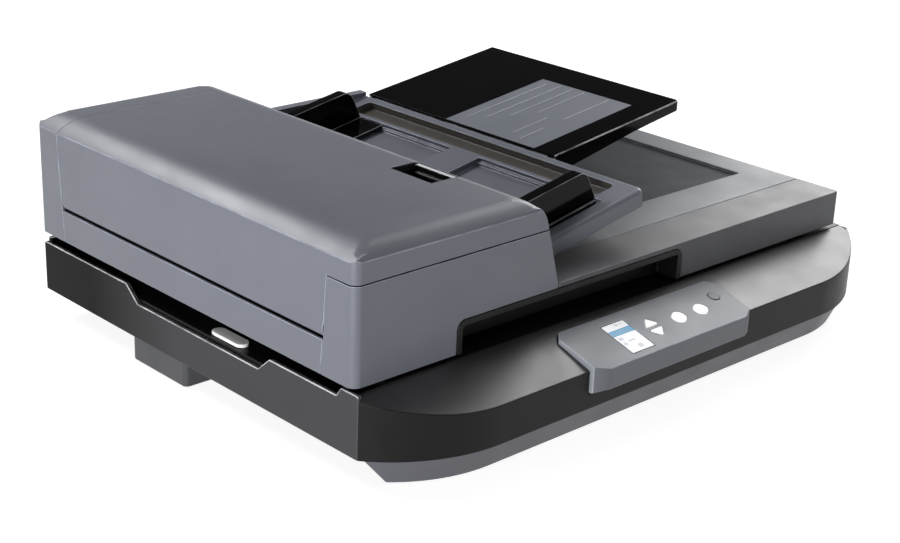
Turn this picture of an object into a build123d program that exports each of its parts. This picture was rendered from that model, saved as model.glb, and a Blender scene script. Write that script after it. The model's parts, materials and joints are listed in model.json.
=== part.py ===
from build123d import *
import os
from math import asin, atan, cos, degrees, pi, sin, sqrt

os.makedirs("parts", exist_ok=True)

# A flatbed document scanner with a sheet feeder on its lid. Millimetres, +Z up.
# The origin is on the table, below the middle of the scanner's outline.
# Places are measured from the lid's left front bottom corner: x right, y back, z up.

# Driving dimensions
lid_width = 500.0
lid_depth = 364.0
lid_height = 27.2
lid_opening = 3.0
base_overhang = 11.0
panel_reach = 54.0
base_height = 66.4
feeder_width = 179.0
feeder_height = 91.0
feeder_edge_height = 82.4
corner_radius = 7.0
corner_relief = 0.05
wall = 2.5
seam = 0.4
clearance = 0.3
running_fit = 0.05

overall_width = lid_width + base_overhang
overall_depth = lid_depth + panel_reach
lid_left = -overall_width / 2
lid_front = panel_reach - overall_depth / 2
paper_middle = lid_depth / 2
beyond = 5.0


def level(z):
    """A level plane at height z over the lid's underside."""
    return Plane(origin=(lid_left, lid_front, base_height + z))


def cross(y):
    """An upright plane across the width, y behind the lid's front; its own y runs up."""
    return Plane(origin=(lid_left, lid_front + y, base_height), x_dir=(1, 0, 0), z_dir=(0, -1, 0))


def side(x):
    """An upright plane along the depth, x right of the lid's left face; its own x runs back."""
    return Plane(origin=(lid_left + x, lid_front, base_height), x_dir=(0, 1, 0), z_dir=(1, 0, 0))


def around(middle, half):
    """The span that lies half to each side of a middle value."""
    return (middle - half, middle + half)


def grown(span, amount):
    """A span made longer by the same amount at both ends."""
    return (span[0] - amount, span[1] + amount)


def shifted(span, amount):
    """A span moved along by an amount."""
    return (span[0] + amount, span[1] + amount)


def middle_of(span):
    """The middle of a span."""
    return (span[0] + span[1]) / 2


def end_walls(span, thickness):
    """The spans of two walls that stand at the ends of a span, inside it."""
    return [(span[0], span[0] + thickness), (span[1] - thickness, span[1])]


def block(x_span, y_span, z_span, mode=Mode.ADD):
    """A square-edged block between two values on each axis."""
    with BuildSketch(level(z_span[0])) as outline:
        with Locations((middle_of(x_span), middle_of(y_span))):
            Rectangle(x_span[1] - x_span[0], y_span[1] - y_span[0])
    extrude(outline.sketch, amount=z_span[1] - z_span[0], mode=mode)


def rod_back(x, z, radius, y_span, mode=Mode.ADD):
    """A round rod along the depth."""
    with BuildSketch(cross(y_span[0])) as circle:
        with Locations((x, z)):
            Circle(radius)
    extrude(circle.sketch, amount=y_span[0] - y_span[1], mode=mode)


def rod_across(y, z, radius, x_span, mode=Mode.ADD):
    """A round rod along the width."""
    with BuildSketch(side(x_span[0])) as circle:
        with Locations((y, z)):
            Circle(radius)
    extrude(circle.sketch, amount=x_span[1] - x_span[0], mode=mode)


def rod_up(x, y, radius, z_span, mode=Mode.ADD):
    """A round upright rod."""
    with BuildSketch(level(z_span[0])) as circle:
        with Locations((x, y)):
            Circle(radius)
    extrude(circle.sketch, amount=z_span[1] - z_span[0], mode=mode)


def prism(plane, points, amount, mode=Mode.ADD):
    """A prism on a plane with the corners given in the plane's own values."""
    with BuildSketch(plane) as outline:
        with BuildLine():
            Polyline(*points, close=True)
        make_face()
    extrude(outline.sketch, amount=amount, mode=mode)


def slab_back(points, y_span, mode=Mode.ADD):
    """A prism along the depth with the corners given as (x, z)."""
    prism(cross(y_span[0]), points, y_span[0] - y_span[1], mode)


def slab_across(points, x_span, mode=Mode.ADD):
    """A prism along the width with the corners given as (y, z)."""
    prism(side(x_span[0]), points, x_span[1] - x_span[0], mode)


def save(piece, name):
    """Label a finished piece and write its file."""
    piece.part.label = name
    export_step(piece.part, f"parts/{name}.step")


# Levels of the base
deck_top = -lid_opening
deck_thickness = 4.0
deck_bottom = deck_top - deck_thickness
ledge_top = -16.0
panel_bottom = -46.0
tub_bottom = -52.0
foot_pad = 1.0
table = -base_height
pan_bottom = table + foot_pad

# Plan of the base
side_panel = 3.0
tub_inset = 12.0
tub_x = (tub_inset, overall_width - tub_inset / 2)
tub_y = (4.0, lid_depth - 8.0)
tub_floor = tub_bottom + wall
tub_inside_x = grown(tub_x, -wall)
tub_inside_y = grown(tub_y, -wall)
ledge_width = 28.0
right_panel_x = (overall_width - side_panel, overall_width)
rear_panel_y = (tub_y[1], tub_y[1] + side_panel)

# Sockets at the rear
inlet_x = lid_width - 60.0
inlet_half_width = 7.0
inlet_z = (-36.0, -22.0)
port_x = lid_width - 95.0
port_half_width = 6.5
port_z = (-36.0, -24.0)
socket_depth = 14.0
socket_y = (rear_panel_y[1] - socket_depth, rear_panel_y[1])
jack_radius = 4.0
jack_pin_radius = 1.0
port_wall = 1.5
tongue_half_width = 3.2
tongue_half_height = 1.6

# Guide rod, belt line and board, which the tub carries
rod_radius = 4.0
rod_z = -40.0
rod_seat = 8.0
rod_span = grown(tub_inside_x, -1.0)
rail_y = (74.0, 80.0)
rail_top = -36.0
board_x = (lid_width - 250.0, lid_width - 100.0)
board_y = (lid_depth - 68.0, lid_depth - 22.0)
board_bottom = -44.0
board_thickness = 1.6
standoff_radius = 3.0
standoff_inset = 6.0
pulley_y = paper_middle + 32.0
idler_x = 30.0
drive_x = lid_width - 22.0
pulley_radius = 6.4
pulley_flange = 9.0
belt_z = (-44.0, -38.0)
belt_thickness = 1.4
flange_thickness = 1.0
idler_pin_radius = 2.0
idler_shoulder_radius = 3.5
motor_plate_x = around(drive_x, 21.0)
motor_plate_y = around(pulley_y, 22.0)
motor_plate_z = (-36.0, -34.0)
motor_shaft_hole = 4.0
screw_radius = 1.5
screw_head_radius = 3.5
screw_head = 2.0
screw_places = [(x, y) for x in (60.0, lid_width - 50.0) for y in (30.0, lid_depth - 34.0)]

with BuildPart() as base_tub:
    block(tub_x, tub_y, (tub_bottom, deck_bottom))
    block(tub_inside_x, tub_inside_y, (tub_floor, 0), Mode.SUBTRACT)
    block((0, ledge_width + wall), (0, lid_depth), (ledge_top - wall, 0), Mode.SUBTRACT)
    left_seat = (tub_inside_x[0], tub_inside_x[0] + rod_seat)
    right_seat = (tub_inside_x[1] - rod_seat, tub_inside_x[1])
    for seat_x in (left_seat, right_seat):
        block(seat_x, around(paper_middle, rod_seat), (tub_floor, rod_z + rod_seat))
    rod_across(paper_middle, rod_z, rod_radius, rod_span, Mode.SUBTRACT)
    block(tub_inside_x, rail_y, (tub_floor, rail_top))
    for post_x in grown(board_x, -standoff_inset):
        for post_y in grown(board_y, -standoff_inset):
            rod_up(post_x, post_y, standoff_radius, (tub_floor, board_bottom))
    rod_up(idler_x, pulley_y, idler_pin_radius, (tub_floor, belt_z[1] + flange_thickness))
    rod_up(idler_x, pulley_y, idler_shoulder_radius, (tub_floor, belt_z[0] - 2 * flange_thickness))
    block(motor_plate_x, motor_plate_y, motor_plate_z)
    for leg_y in end_walls(motor_plate_y, wall):
        block(motor_plate_x, leg_y, (tub_floor, motor_plate_z[0]))
    rod_up(drive_x, pulley_y, motor_shaft_hole, motor_plate_z, Mode.SUBTRACT)
    for screw_x, screw_y in screw_places:
        rod_up(screw_x, screw_y, screw_radius, (tub_bottom, tub_floor), Mode.SUBTRACT)
    block(around(inlet_x, inlet_half_width), (socket_y[0] - beyond, lid_depth), inlet_z, Mode.SUBTRACT)
    block(around(port_x, port_half_width), (socket_y[0] - beyond, lid_depth), port_z, Mode.SUBTRACT)
save(base_tub, "base_tub")

with BuildPart() as case_screws:
    for screw_x, screw_y in screw_places:
        rod_up(screw_x, screw_y, screw_radius, (tub_bottom, tub_floor))
        rod_up(screw_x, screw_y, screw_head_radius, (tub_bottom - screw_head, tub_bottom))
save(case_screws, "case_screws")

# Side panels: the left one has a stepped rim
panel_front = -5.0
panel_back = lid_depth - 4.0
rim_shape = [
    (panel_front, panel_bottom),
    (panel_front, -2.2),
    (12.0, -2.2),
    (16.0, -8.5),
    (84.0, -8.5),
    (96.0, -19.0),
    (236.0, -19.0),
    (250.0, -7.5),
    (panel_back, -7.5),
    (panel_back, panel_bottom),
]
rib_half = 2.0
rib_places = (40.0, 160.0, lid_depth - 44.0)
rib_top = -20.0
right_rim = -4.5
rim_round = 2.0

with BuildPart() as left_panel:
    slab_across(rim_shape, (0, side_panel))
    fillet(left_panel.edges().filter_by(Axis.X).sort_by(Axis.Z)[2:], rim_round)
    for rib_y in rib_places:
        block((side_panel, tub_x[0]), around(rib_y, rib_half), (panel_bottom, rib_top))
save(left_panel, "left_panel")

with BuildPart() as right_panel:
    block(right_panel_x, (panel_front, panel_back), (panel_bottom, right_rim))
    for rib_y in rib_places:
        block((tub_x[1], right_panel_x[0]), around(rib_y, rib_half), (panel_bottom, rib_top))
save(right_panel, "right_panel")

with BuildPart() as rear_panel:
    block((side_panel, right_panel_x[0]), rear_panel_y, (panel_bottom, right_rim))
    block(around(inlet_x, inlet_half_width), grown(rear_panel_y, wall), inlet_z, Mode.SUBTRACT)
    block(around(port_x, port_half_width), grown(rear_panel_y, wall), port_z, Mode.SUBTRACT)
save(rear_panel, "rear_panel")

with BuildPart() as rear_sockets:
    block(around(inlet_x, inlet_half_width), socket_y, inlet_z)
    rod_back(inlet_x, middle_of(inlet_z), jack_radius, (socket_y[0] + wall, socket_y[1]), Mode.SUBTRACT)
    rod_back(inlet_x, middle_of(inlet_z), jack_pin_radius, (socket_y[0] + wall, socket_y[1] - wall))
    block(around(port_x, port_half_width), socket_y, port_z)
    block(
        around(port_x, port_half_width - port_wall),
        (socket_y[0] + wall, socket_y[1]),
        grown(port_z, -port_wall),
        Mode.SUBTRACT,
    )
    block(
        around(port_x, tongue_half_width),
        (socket_y[0] + wall, socket_y[1] - wall),
        around(middle_of(port_z), tongue_half_height),
    )
save(rear_sockets, "rear_sockets")

# Deck frame with the two glass windows and the ledge on the left
glass_x = (92.0, lid_width - 50.0)
glass_y = (72.0, lid_depth - 72.0)
strip_x = (52.0, 66.0)
glass_lip = 4.0
glass_thickness = 2.8
glass_bottom = deck_bottom + 1.0
lock_x = (5.0, 15.0)
lock_y = (121.7, 156.7)
lock_travel = 10.0
lock_neck_half = 1.5
lock_neck_y = grown(lock_y, -10.0)
lock_height = 2.5
deck_x = (ledge_width, right_panel_x[0])
deck_y = (1.0, tub_y[1])

with BuildPart() as deck_frame:
    block(deck_x, deck_y, (deck_bottom, deck_top))
    block((side_panel, ledge_width + wall), deck_y, (ledge_top - wall, ledge_top))
    block((ledge_width, ledge_width + wall), deck_y, (ledge_top, deck_bottom))
    for window_x in (glass_x, strip_x):
        block(window_x, glass_y, (deck_bottom, deck_top), Mode.SUBTRACT)
        block(grown(window_x, glass_lip), grown(glass_y, glass_lip), (glass_bottom, deck_top), Mode.SUBTRACT)
    block(
        around(middle_of(lock_x), lock_neck_half + clearance),
        (lock_neck_y[0] - clearance, lock_neck_y[1] + lock_travel + clearance),
        (ledge_top - wall, ledge_top),
        Mode.SUBTRACT,
    )
save(deck_frame, "deck_frame")


def window_glass(window_x):
    """A pane that lies on its window's lip."""
    with BuildPart() as pane:
        block(
            grown(window_x, glass_lip - clearance),
            grown(glass_y, glass_lip - clearance),
            (glass_bottom, glass_bottom + glass_thickness),
        )
    return pane


save(window_glass(glass_x), "platen_glass")
save(window_glass(strip_x), "feeder_glass")

with BuildPart() as carriage_lock:
    with BuildSketch(level(ledge_top + clearance)):
        with Locations((middle_of(lock_x), middle_of(lock_y))):
            SlotOverall(lock_y[1] - lock_y[0], lock_x[1] - lock_x[0], rotation=90)
    extrude(amount=lock_height)
    block(
        around(middle_of(lock_x), lock_neck_half),
        lock_neck_y,
        (ledge_top - 2 * wall, ledge_top + clearance),
    )
save(carriage_lock, "carriage_lock")

# Plan of the rounded front, which the fascia and the skirt share
nose_radius = 112.0
nose_centre_y = 67.0
nose_centre = (sqrt(nose_radius**2 - (nose_centre_y - panel_front) ** 2), nose_centre_y)
nose_front = nose_centre[1] - nose_radius
slope_rear = (deck_y[0], deck_top - 0.2)
slope_front_z = -18.0
slope_fall = (slope_rear[1] - slope_front_z) / (slope_rear[0] - nose_front)


def nose_outline(plane, inset, back):
    """The rounded front, drawn in by inset and cut off square at back."""
    radius = nose_radius - inset
    turn = degrees(asin((nose_centre[1] - back) / radius))
    reach = sqrt(radius**2 - (nose_centre[1] - back) ** 2)
    right_centre = overall_width - nose_centre[0]
    with BuildSketch(plane) as outline:
        with BuildLine():
            CenterArc(nose_centre, radius, 180 + turn, 90 - turn)
            Line((nose_centre[0], nose_centre[1] - radius), (right_centre, nose_centre[1] - radius))
            CenterArc((right_centre, nose_centre[1]), radius, 270, 90 - turn)
            Line((right_centre + reach, back), (nose_centre[0] - reach, back))
        make_face()
    return outline.sketch


def slope_z(y):
    """Height of the fascia's sloping top at y."""
    return slope_rear[1] - slope_fall * (slope_rear[0] - y)


def fascia_form(inset):
    """Outer form of the fascia, drawn in by inset from above and from its sides."""
    with BuildPart() as form:
        extrude(nose_outline(level(panel_bottom), inset, panel_front), amount=-panel_bottom)
        block(
            (side_panel + inset, right_panel_x[0] - inset),
            (panel_front, slope_rear[0]),
            (panel_bottom, 0),
        )
        far_front = nose_front - beyond
        far_back = slope_rear[0] + beyond
        slab_across(
            [
                (far_back, slope_z(far_back) - inset),
                (far_front, slope_z(far_front) - inset),
                (far_front, beyond),
                (far_back, beyond),
            ],
            (-beyond, overall_width + beyond),
            Mode.SUBTRACT,
        )
    return form.part


# Control panel, which stands out of the fascia
panel_x = around(lid_width / 2 - 1.0, 82.5)
panel_rear = (-9.0, -3.7)
panel_brow_z = -16.0
panel_face_bottom = -31.0
panel_root_z = -34.0
panel_root_y = nose_front - 1.0
panel_chamfer = (11.0, 6.0)
panel_rear_chamfer = 6.0
panel_fit = 0.5
panel_tilt = atan((panel_rear[1] - panel_brow_z) / (panel_rear[0] + panel_reach))


def panel_form(inset):
    """Outer form of the control panel, drawn in by inset."""
    left, right = grown(panel_x, -inset)
    front = -panel_reach + inset
    rear = panel_rear[0] - inset
    foot = panel_root_z + inset
    drop = inset / cos(panel_tilt)
    with BuildPart() as form:
        slab_across(
            [
                (rear, panel_rear[1] - drop),
                (front, panel_brow_z - drop + inset * sin(panel_tilt)),
                (front, panel_face_bottom + inset),
                (panel_root_y, foot),
                (rear, foot),
            ],
            (left, right),
        )
        with BuildSketch(level(foot)) as plan:
            with BuildLine():
                Polyline(
                    (left, rear - panel_rear_chamfer),
                    (left + panel_rear_chamfer, rear),
                    (right - panel_rear_chamfer, rear),
                    (right, rear - panel_rear_chamfer),
                    (right, front + panel_chamfer[1]),
                    (right - panel_chamfer[0], front),
                    (left + panel_chamfer[0], front),
                    (left, front + panel_chamfer[1]),
                    close=True,
                )
            make_face()
        extrude(plan.sketch, amount=-foot, mode=Mode.INTERSECT)
    return form.part


with BuildPart() as front_fascia:
    add(fascia_form(0))
    add(fascia_form(wall), mode=Mode.SUBTRACT)
    add(panel_form(-panel_fit), mode=Mode.SUBTRACT)
save(front_fascia, "front_fascia")

# Skirt under the fascia, tapered all round
skirt_top_inset = 2.0
skirt_bottom_inset = 10.5
skirt_back = -6.0
skirt_foot_back = -10.0
with BuildPart() as front_skirt:
    skirt_top = nose_outline(level(panel_bottom), skirt_top_inset, skirt_back)
    skirt_foot = nose_outline(level(pan_bottom), skirt_bottom_inset, skirt_foot_back)
    loft([skirt_top, skirt_foot], ruled=True)
    pocket_top = nose_outline(level(panel_bottom), skirt_top_inset + wall, skirt_back - wall)
    foot_level = level(pan_bottom + wall)
    pocket_foot = nose_outline(foot_level, skirt_bottom_inset + wall, skirt_foot_back - wall)
    loft([pocket_top, pocket_foot], ruled=True, mode=Mode.SUBTRACT)
save(front_skirt, "front_skirt")

# Rear foot blocks and rubber feet
foot_block_y = (paper_middle, paper_middle + 66.0)
foot_block_length = 48.0
foot_inset = 2.5
foot_block_round = 4.0
pad_radius = 8.0
front_pad_y = -19.0
front_pad_inset = 60.0
rear_pad_inset = 26.0

with BuildPart() as rear_feet:
    for outer_x, inner_x, tub_side in (
        (foot_inset, foot_inset + foot_block_length, tub_x[0]),
        (overall_width - foot_inset, overall_width - foot_inset - foot_block_length, tub_x[1]),
    ):
        span = (min(outer_x, inner_x), max(outer_x, inner_x))
        lip = (min(outer_x, tub_side), max(outer_x, tub_side))
        block(span, foot_block_y, (pan_bottom, tub_bottom))
        block(lip, foot_block_y, (tub_bottom, panel_bottom))
    outer_ends = rear_feet.edges().filter_by(Axis.Z).group_by(SortBy.LENGTH)[-1]
    fillet(outer_ends, foot_block_round)
save(rear_feet, "rear_feet")

with BuildPart() as foot_pads:
    for pad_x in (front_pad_inset, overall_width - front_pad_inset):
        rod_up(pad_x, front_pad_y, pad_radius, (table, pan_bottom))
    for pad_x in (rear_pad_inset, overall_width - rear_pad_inset):
        rod_up(pad_x, middle_of(foot_block_y), pad_radius, (table, pan_bottom))
save(foot_pads, "foot_pads")

# Scan drive: rod, belt, pulleys and motor
scan_motor_radius = 17.5
scan_motor_height = 17.0
motor_shaft_radius = 2.0
motor_shaft_reach = 8.0
belt_gap = clearance

with BuildPart() as guide_rod:
    rod_across(paper_middle, rod_z, rod_radius, rod_span)
save(guide_rod, "guide_rod")


def pulley(x, bore_radius):
    """A flanged belt pulley with an upright axis."""
    with BuildPart() as wheel:
        rod_up(x, pulley_y, pulley_radius, grown(belt_z, belt_gap))
        upper = (belt_z[1] + belt_gap, belt_z[1] + belt_gap + flange_thickness)
        lower = (belt_z[0] - belt_gap - flange_thickness, belt_z[0] - belt_gap)
        for flange_z in (lower, upper):
            rod_up(x, pulley_y, pulley_flange, flange_z)
        if bore_radius:
            rod_up(x, pulley_y, bore_radius, (lower[0], upper[1]), Mode.SUBTRACT)
        else:
            shaft_top = motor_plate_z[1] + motor_shaft_reach
            rod_up(x, pulley_y, motor_shaft_radius, (upper[1], shaft_top))
    return wheel


save(pulley(idler_x, idler_pin_radius + running_fit), "idler_pulley")
save(pulley(drive_x, 0), "drive_pulley")

with BuildPart() as scan_motor:
    rod_up(drive_x, pulley_y, scan_motor_radius, (motor_plate_z[1], motor_plate_z[1] + scan_motor_height))
    bore_top = motor_plate_z[1] + motor_shaft_reach + clearance
    rod_up(drive_x, pulley_y, motor_shaft_radius + running_fit, (motor_plate_z[1], bore_top), Mode.SUBTRACT)
save(scan_motor, "scan_motor")

with BuildPart() as drive_belt:
    with BuildSketch(level(belt_z[0])):
        with Locations((middle_of((idler_x, drive_x)), pulley_y)):
            SlotCenterToCenter(drive_x - idler_x, 2 * (pulley_radius + belt_gap + belt_thickness))
            SlotCenterToCenter(drive_x - idler_x, 2 * (pulley_radius + belt_gap), mode=Mode.SUBTRACT)
    extrude(amount=belt_z[1] - belt_z[0])
save(drive_belt, "drive_belt")

chip_height = 3.0
chips = [((12.0, 32.0), (8.0, 28.0)), ((50.0, 80.0), (6.0, 36.0)), ((100.0, 134.0), (10.0, 24.0))]
with BuildPart() as main_board:
    board_top = board_bottom + board_thickness
    block(board_x, board_y, (board_bottom, board_top))
    for chip_x, chip_y in chips:
        chip_z = (board_top, board_top + chip_height)
        block(shifted(chip_x, board_x[0]), shifted(chip_y, board_y[0]), chip_z)
save(main_board, "main_board")

# Scan carriage with its image sensor, parked under the feeder glass
carriage_x = (44.0, 76.0)
carriage_y = (60.0, lid_depth - 60.0)
carriage_floor = -34.0
carriage_top = -14.0
carriage_wall = 2.0
sleeve_half = 7.5
carriage_foot_height = rail_top + clearance
sensor_x = (50.0, 68.0)
sensor_y = (66.0, lid_depth - 66.0)
sensor_top = -11.0
belt_run_y = pulley_y + pulley_radius + belt_gap + belt_thickness / 2
clamp_half = 4.0

with BuildPart() as scan_carriage:
    block(carriage_x, carriage_y, (carriage_floor, carriage_top))
    block(
        grown(carriage_x, -carriage_wall),
        grown(carriage_y, -carriage_wall),
        (carriage_floor + carriage_wall, carriage_top),
        Mode.SUBTRACT,
    )
    block(carriage_x, around(paper_middle, sleeve_half), (rod_z - sleeve_half, carriage_floor))
    rod_across(paper_middle, rod_z, rod_radius + running_fit, carriage_x, Mode.SUBTRACT)
    block(sensor_x, grown(rail_y, -1.0), (carriage_foot_height, carriage_floor))
    block(sensor_x, around(belt_run_y, clamp_half), (belt_z[0] - clamp_half / 2, carriage_floor))
    block(
        carriage_x,
        around(belt_run_y, belt_thickness / 2 + clearance),
        grown(belt_z, clearance),
        Mode.SUBTRACT,
    )
save(scan_carriage, "scan_carriage")

with BuildPart() as image_sensor:
    block(sensor_x, sensor_y, (carriage_floor + carriage_wall, sensor_top))
save(image_sensor, "image_sensor")

# Control panel pieces, measured down the sloping face from its rear edge


def face_plane(height):
    """A plane over the panel's sloping face; its own y runs up the slope."""
    start = Plane(
        origin=(lid_left, lid_front + panel_rear[0], base_height + panel_rear[1]),
        x_dir=(1, 0, 0),
        z_dir=(0, -sin(panel_tilt), cos(panel_tilt)),
    )
    return start.offset(height)


display_x = shifted((38.0, 61.0), panel_x[0])
display_slope = (8.5, 41.0)
display_depth = 4.0
display_inset = 0.3
display_frame = 1.0
key_rise = 0.8
key_travel = 0.8
key_depth = 3.6
key_collar = 1.0
key_collar_thickness = 0.8
key_gap = 0.25
arrow_half_width = 5.5
arrow_half_height = 3.4
round_key_radius = 5.5
power_key_radius = 4.3
key_places = {
    "up_key": (panel_x[0] + 76.0, 20.0),
    "down_key": (panel_x[0] + 76.0, 31.0),
    "confirm_key": (panel_x[0] + 103.2, 25.0),
    "back_key": (panel_x[0] + 126.9, 25.0),
    "power_key": (panel_x[0] + 150.0, 17.5),
}


def key_face(name, plane, growth):
    """Outline of one key, made larger all round by growth."""
    place_x, place_down = key_places[name]
    with BuildSketch(plane) as outline:
        with Locations((place_x, -place_down)):
            if name in ("up_key", "down_key"):
                tip = arrow_half_height if name == "up_key" else -arrow_half_height
                with BuildLine():
                    Polyline(
                        (place_x - arrow_half_width, -place_down - tip),
                        (place_x, -place_down + tip),
                        (place_x + arrow_half_width, -place_down - tip),
                        close=True,
                    )
                make_face()
            elif name == "power_key":
                Circle(power_key_radius)
            else:
                Circle(round_key_radius)
        if growth:
            offset(amount=growth, kind=Kind.INTERSECTION)
    return outline.sketch


display_plan = ((display_x[0] + display_x[1]) / 2, -(display_slope[0] + display_slope[1]) / 2)
display_size = (display_x[1] - display_x[0], display_slope[1] - display_slope[0])


def display_block(shrink, z_from, z_to, mode=Mode.ADD):
    """A block under the display's outline, between two heights over the face."""
    with BuildSketch(face_plane(z_from)) as outline:
        with Locations(display_plan):
            Rectangle(display_size[0] - 2 * shrink, display_size[1] - 2 * shrink)
    extrude(outline.sketch, amount=z_to - z_from, mode=mode)


with BuildPart() as panel_housing:
    add(panel_form(0))
    add(panel_form(wall), mode=Mode.SUBTRACT)
    for key_name in key_places:
        opening = key_face(key_name, face_plane(-2 * wall), key_gap)
        extrude(opening, amount=3 * wall, mode=Mode.SUBTRACT)
    display_block(0, -2 * wall, wall, Mode.SUBTRACT)
save(panel_housing, "panel_housing")

with BuildPart() as panel_display:
    display_block(0, -display_depth, -display_inset)
save(panel_display, "panel_display")

for key_name in key_places:
    with BuildPart() as key:
        extrude(key_face(key_name, face_plane(-key_depth), 0), amount=key_depth + key_rise)
        collar = key_face(key_name, face_plane(-wall - clearance - key_collar_thickness), key_collar)
        extrude(collar, amount=key_collar_thickness)
    save(key, key_name)

panel_board_x = grown(panel_x, -14.0)
panel_board_slope = (8.0, 40.0)
panel_board_height = -key_depth - key_travel - clearance
with BuildPart() as panel_board:
    board_middle = (middle_of(panel_board_x), -middle_of(panel_board_slope))
    with BuildSketch(face_plane(panel_board_height - board_thickness)) as outline:
        with Locations(board_middle):
            Rectangle(panel_board_x[1] - panel_board_x[0], panel_board_slope[1] - panel_board_slope[0])
        with Locations(display_plan):
            Rectangle(display_size[0] - display_frame, display_size[1] - display_frame, mode=Mode.SUBTRACT)
    extrude(outline.sketch, amount=board_thickness)
save(panel_board, "panel_board")

# Lid hinge: posts on the base, leaves on the lid
hinge_places = (110.0, lid_width - 100.0)
hinge_y = lid_depth - 4.0
hinge_z = 4.0
knuckle_radius = 4.0
hinge_pin_radius = 2.0
post_half = 8.0
leaf_half = 20.0
post_bottom = -36.0
leaf_thickness = 3.0
leaf_y = (lid_depth - 26.0, hinge_y - knuckle_radius - 1.5)
leaf_z = (3.0, 3.0 + leaf_thickness)
hinge_room = 4.5

with BuildPart() as hinge_posts:
    for hinge_x in hinge_places:
        post_y = (rear_panel_y[1], hinge_y + knuckle_radius)
        block(around(hinge_x, post_half), post_y, (post_bottom, hinge_z))
        rod_across(hinge_y, hinge_z, knuckle_radius, around(hinge_x, post_half))
        bore = hinge_pin_radius + running_fit
        rod_across(hinge_y, hinge_z, bore, around(hinge_x, post_half), Mode.SUBTRACT)
save(hinge_posts, "hinge_posts")

with BuildPart() as hinge_leaves:
    for hinge_x in hinge_places:
        block(around(hinge_x, leaf_half), leaf_y, leaf_z)
        inner = post_half + clearance
        for ear_x in ((hinge_x - leaf_half, hinge_x - inner), (hinge_x + inner, hinge_x + leaf_half)):
            block(ear_x, (leaf_y[1], hinge_y), leaf_z)
            rod_across(hinge_y, hinge_z, knuckle_radius, ear_x)
        rod_across(hinge_y, hinge_z, hinge_pin_radius, around(hinge_x, leaf_half))
save(hinge_leaves, "hinge_leaves")

# Lid frame, which carries the feeder, the cover and the backing pad
frame_x = (wall, lid_width - wall)
frame_y = (wall, lid_depth - wall)
frame_z = (0.0, 3.0)
scan_roller_x = 59.0
scan_roller_z = 8.5
scan_roller_radius = 10.0
scan_window_x = around(scan_roller_x, scan_roller_radius + 1.5)
scan_window_y = (64.0, lid_depth - 64.0)
grip_x = (86.5, 308.5)
grip_top = 23.4
grip_depth = 20.0
grip_border = 4.5
grip_back = 2.0
grip_round = 7.0
grip_stand = 0.8
bumper_radius = 6.0
bumper_height = lid_opening - clearance
bumper_places = [(x, y) for x in (42.0, lid_width - 20.0) for y in (22.0, lid_depth - 29.0)]
pad_x = grown(glass_x, 6.0)
pad_y = grown(glass_y, 6.0)
backing_thickness = 2.4


def grip_form(inset, y_span):
    """A block with rounded upper corners that fills the grip recess, drawn in by inset."""
    with BuildPart() as form:
        block(grown(grip_x, -inset), y_span, (0, grip_top - inset))
        fillet(form.edges().filter_by(Axis.Y).sort_by(Axis.Z)[-2:], grip_round - inset)
    return form.part


with BuildPart() as lid_frame:
    block(frame_x, frame_y, frame_z)
    block(scan_window_x, scan_window_y, frame_z, Mode.SUBTRACT)
    block(grip_x, (0, grip_depth), frame_z, Mode.SUBTRACT)
    for hinge_x in hinge_places:
        block(around(hinge_x, leaf_half + seam), (leaf_y[1], lid_depth), frame_z, Mode.SUBTRACT)
save(lid_frame, "lid_frame")

with BuildPart() as backing_pad:
    block(pad_x, pad_y, (-backing_thickness, frame_z[0]))
save(backing_pad, "backing_pad")

with BuildPart() as lid_bumpers:
    for bumper_x, bumper_y in bumper_places:
        rod_up(bumper_x, bumper_y, bumper_radius, (-bumper_height, frame_z[0]))
save(lid_bumpers, "lid_bumpers")

# Lid cover with the sunken output area, and the strip along its front
cover_left = feeder_width + 1.0
strip_depth = 40.0
skin_z = (lid_height - wall, lid_height)
output_x = (cover_left + wall + 1.0, lid_width - 27.0)
output_y = (78.0, lid_depth - 78.0)
output_sink = 2.5
strip_flange = 3.0

with BuildPart() as lid_cover:
    cover_y = (strip_depth + seam, lid_depth)
    block((cover_left, lid_width), cover_y, (0, lid_height))
    inside_y = (cover_y[0], lid_depth - wall)
    block((cover_left + wall, lid_width - wall), inside_y, (0, skin_z[0]), Mode.SUBTRACT)
    block((cover_left, frame_x[1]), frame_y, frame_z, Mode.SUBTRACT)
    sunken_z = (skin_z[0] - output_sink, skin_z[1] - output_sink)
    block(grown(output_x, 1.0), grown(output_y, wall), (sunken_z[0], skin_z[0]))
    block(output_x, output_y, (sunken_z[1], lid_height), Mode.SUBTRACT)
    hinge_x = hinge_places[1]
    notch_z = (0, hinge_z + hinge_room)
    block(around(hinge_x, leaf_half + seam), (lid_depth - wall, lid_depth), notch_z, Mode.SUBTRACT)
save(lid_cover, "lid_cover")

with BuildPart() as front_strip:
    block((cover_left, lid_width), (0, strip_depth), (0, lid_height))
    block((cover_left, lid_width - wall), (wall, strip_depth), (0, skin_z[0]), Mode.SUBTRACT)
    flange_x = (cover_left + wall + seam, lid_width - wall)
    flange_y = (strip_depth - strip_flange, strip_depth + strip_flange)
    block(flange_x, flange_y, (skin_z[0] - wall, skin_z[0]))
    add(grip_form(0, (0, grip_depth)), mode=Mode.SUBTRACT)
save(front_strip, "front_strip")

with BuildPart() as grip_bezel:
    add(grip_form(0, (-grip_stand, grip_depth)))
    add(grip_form(grip_border, (-beyond, grip_depth - grip_back)), mode=Mode.SUBTRACT)
save(grip_bezel, "grip_bezel")


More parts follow.
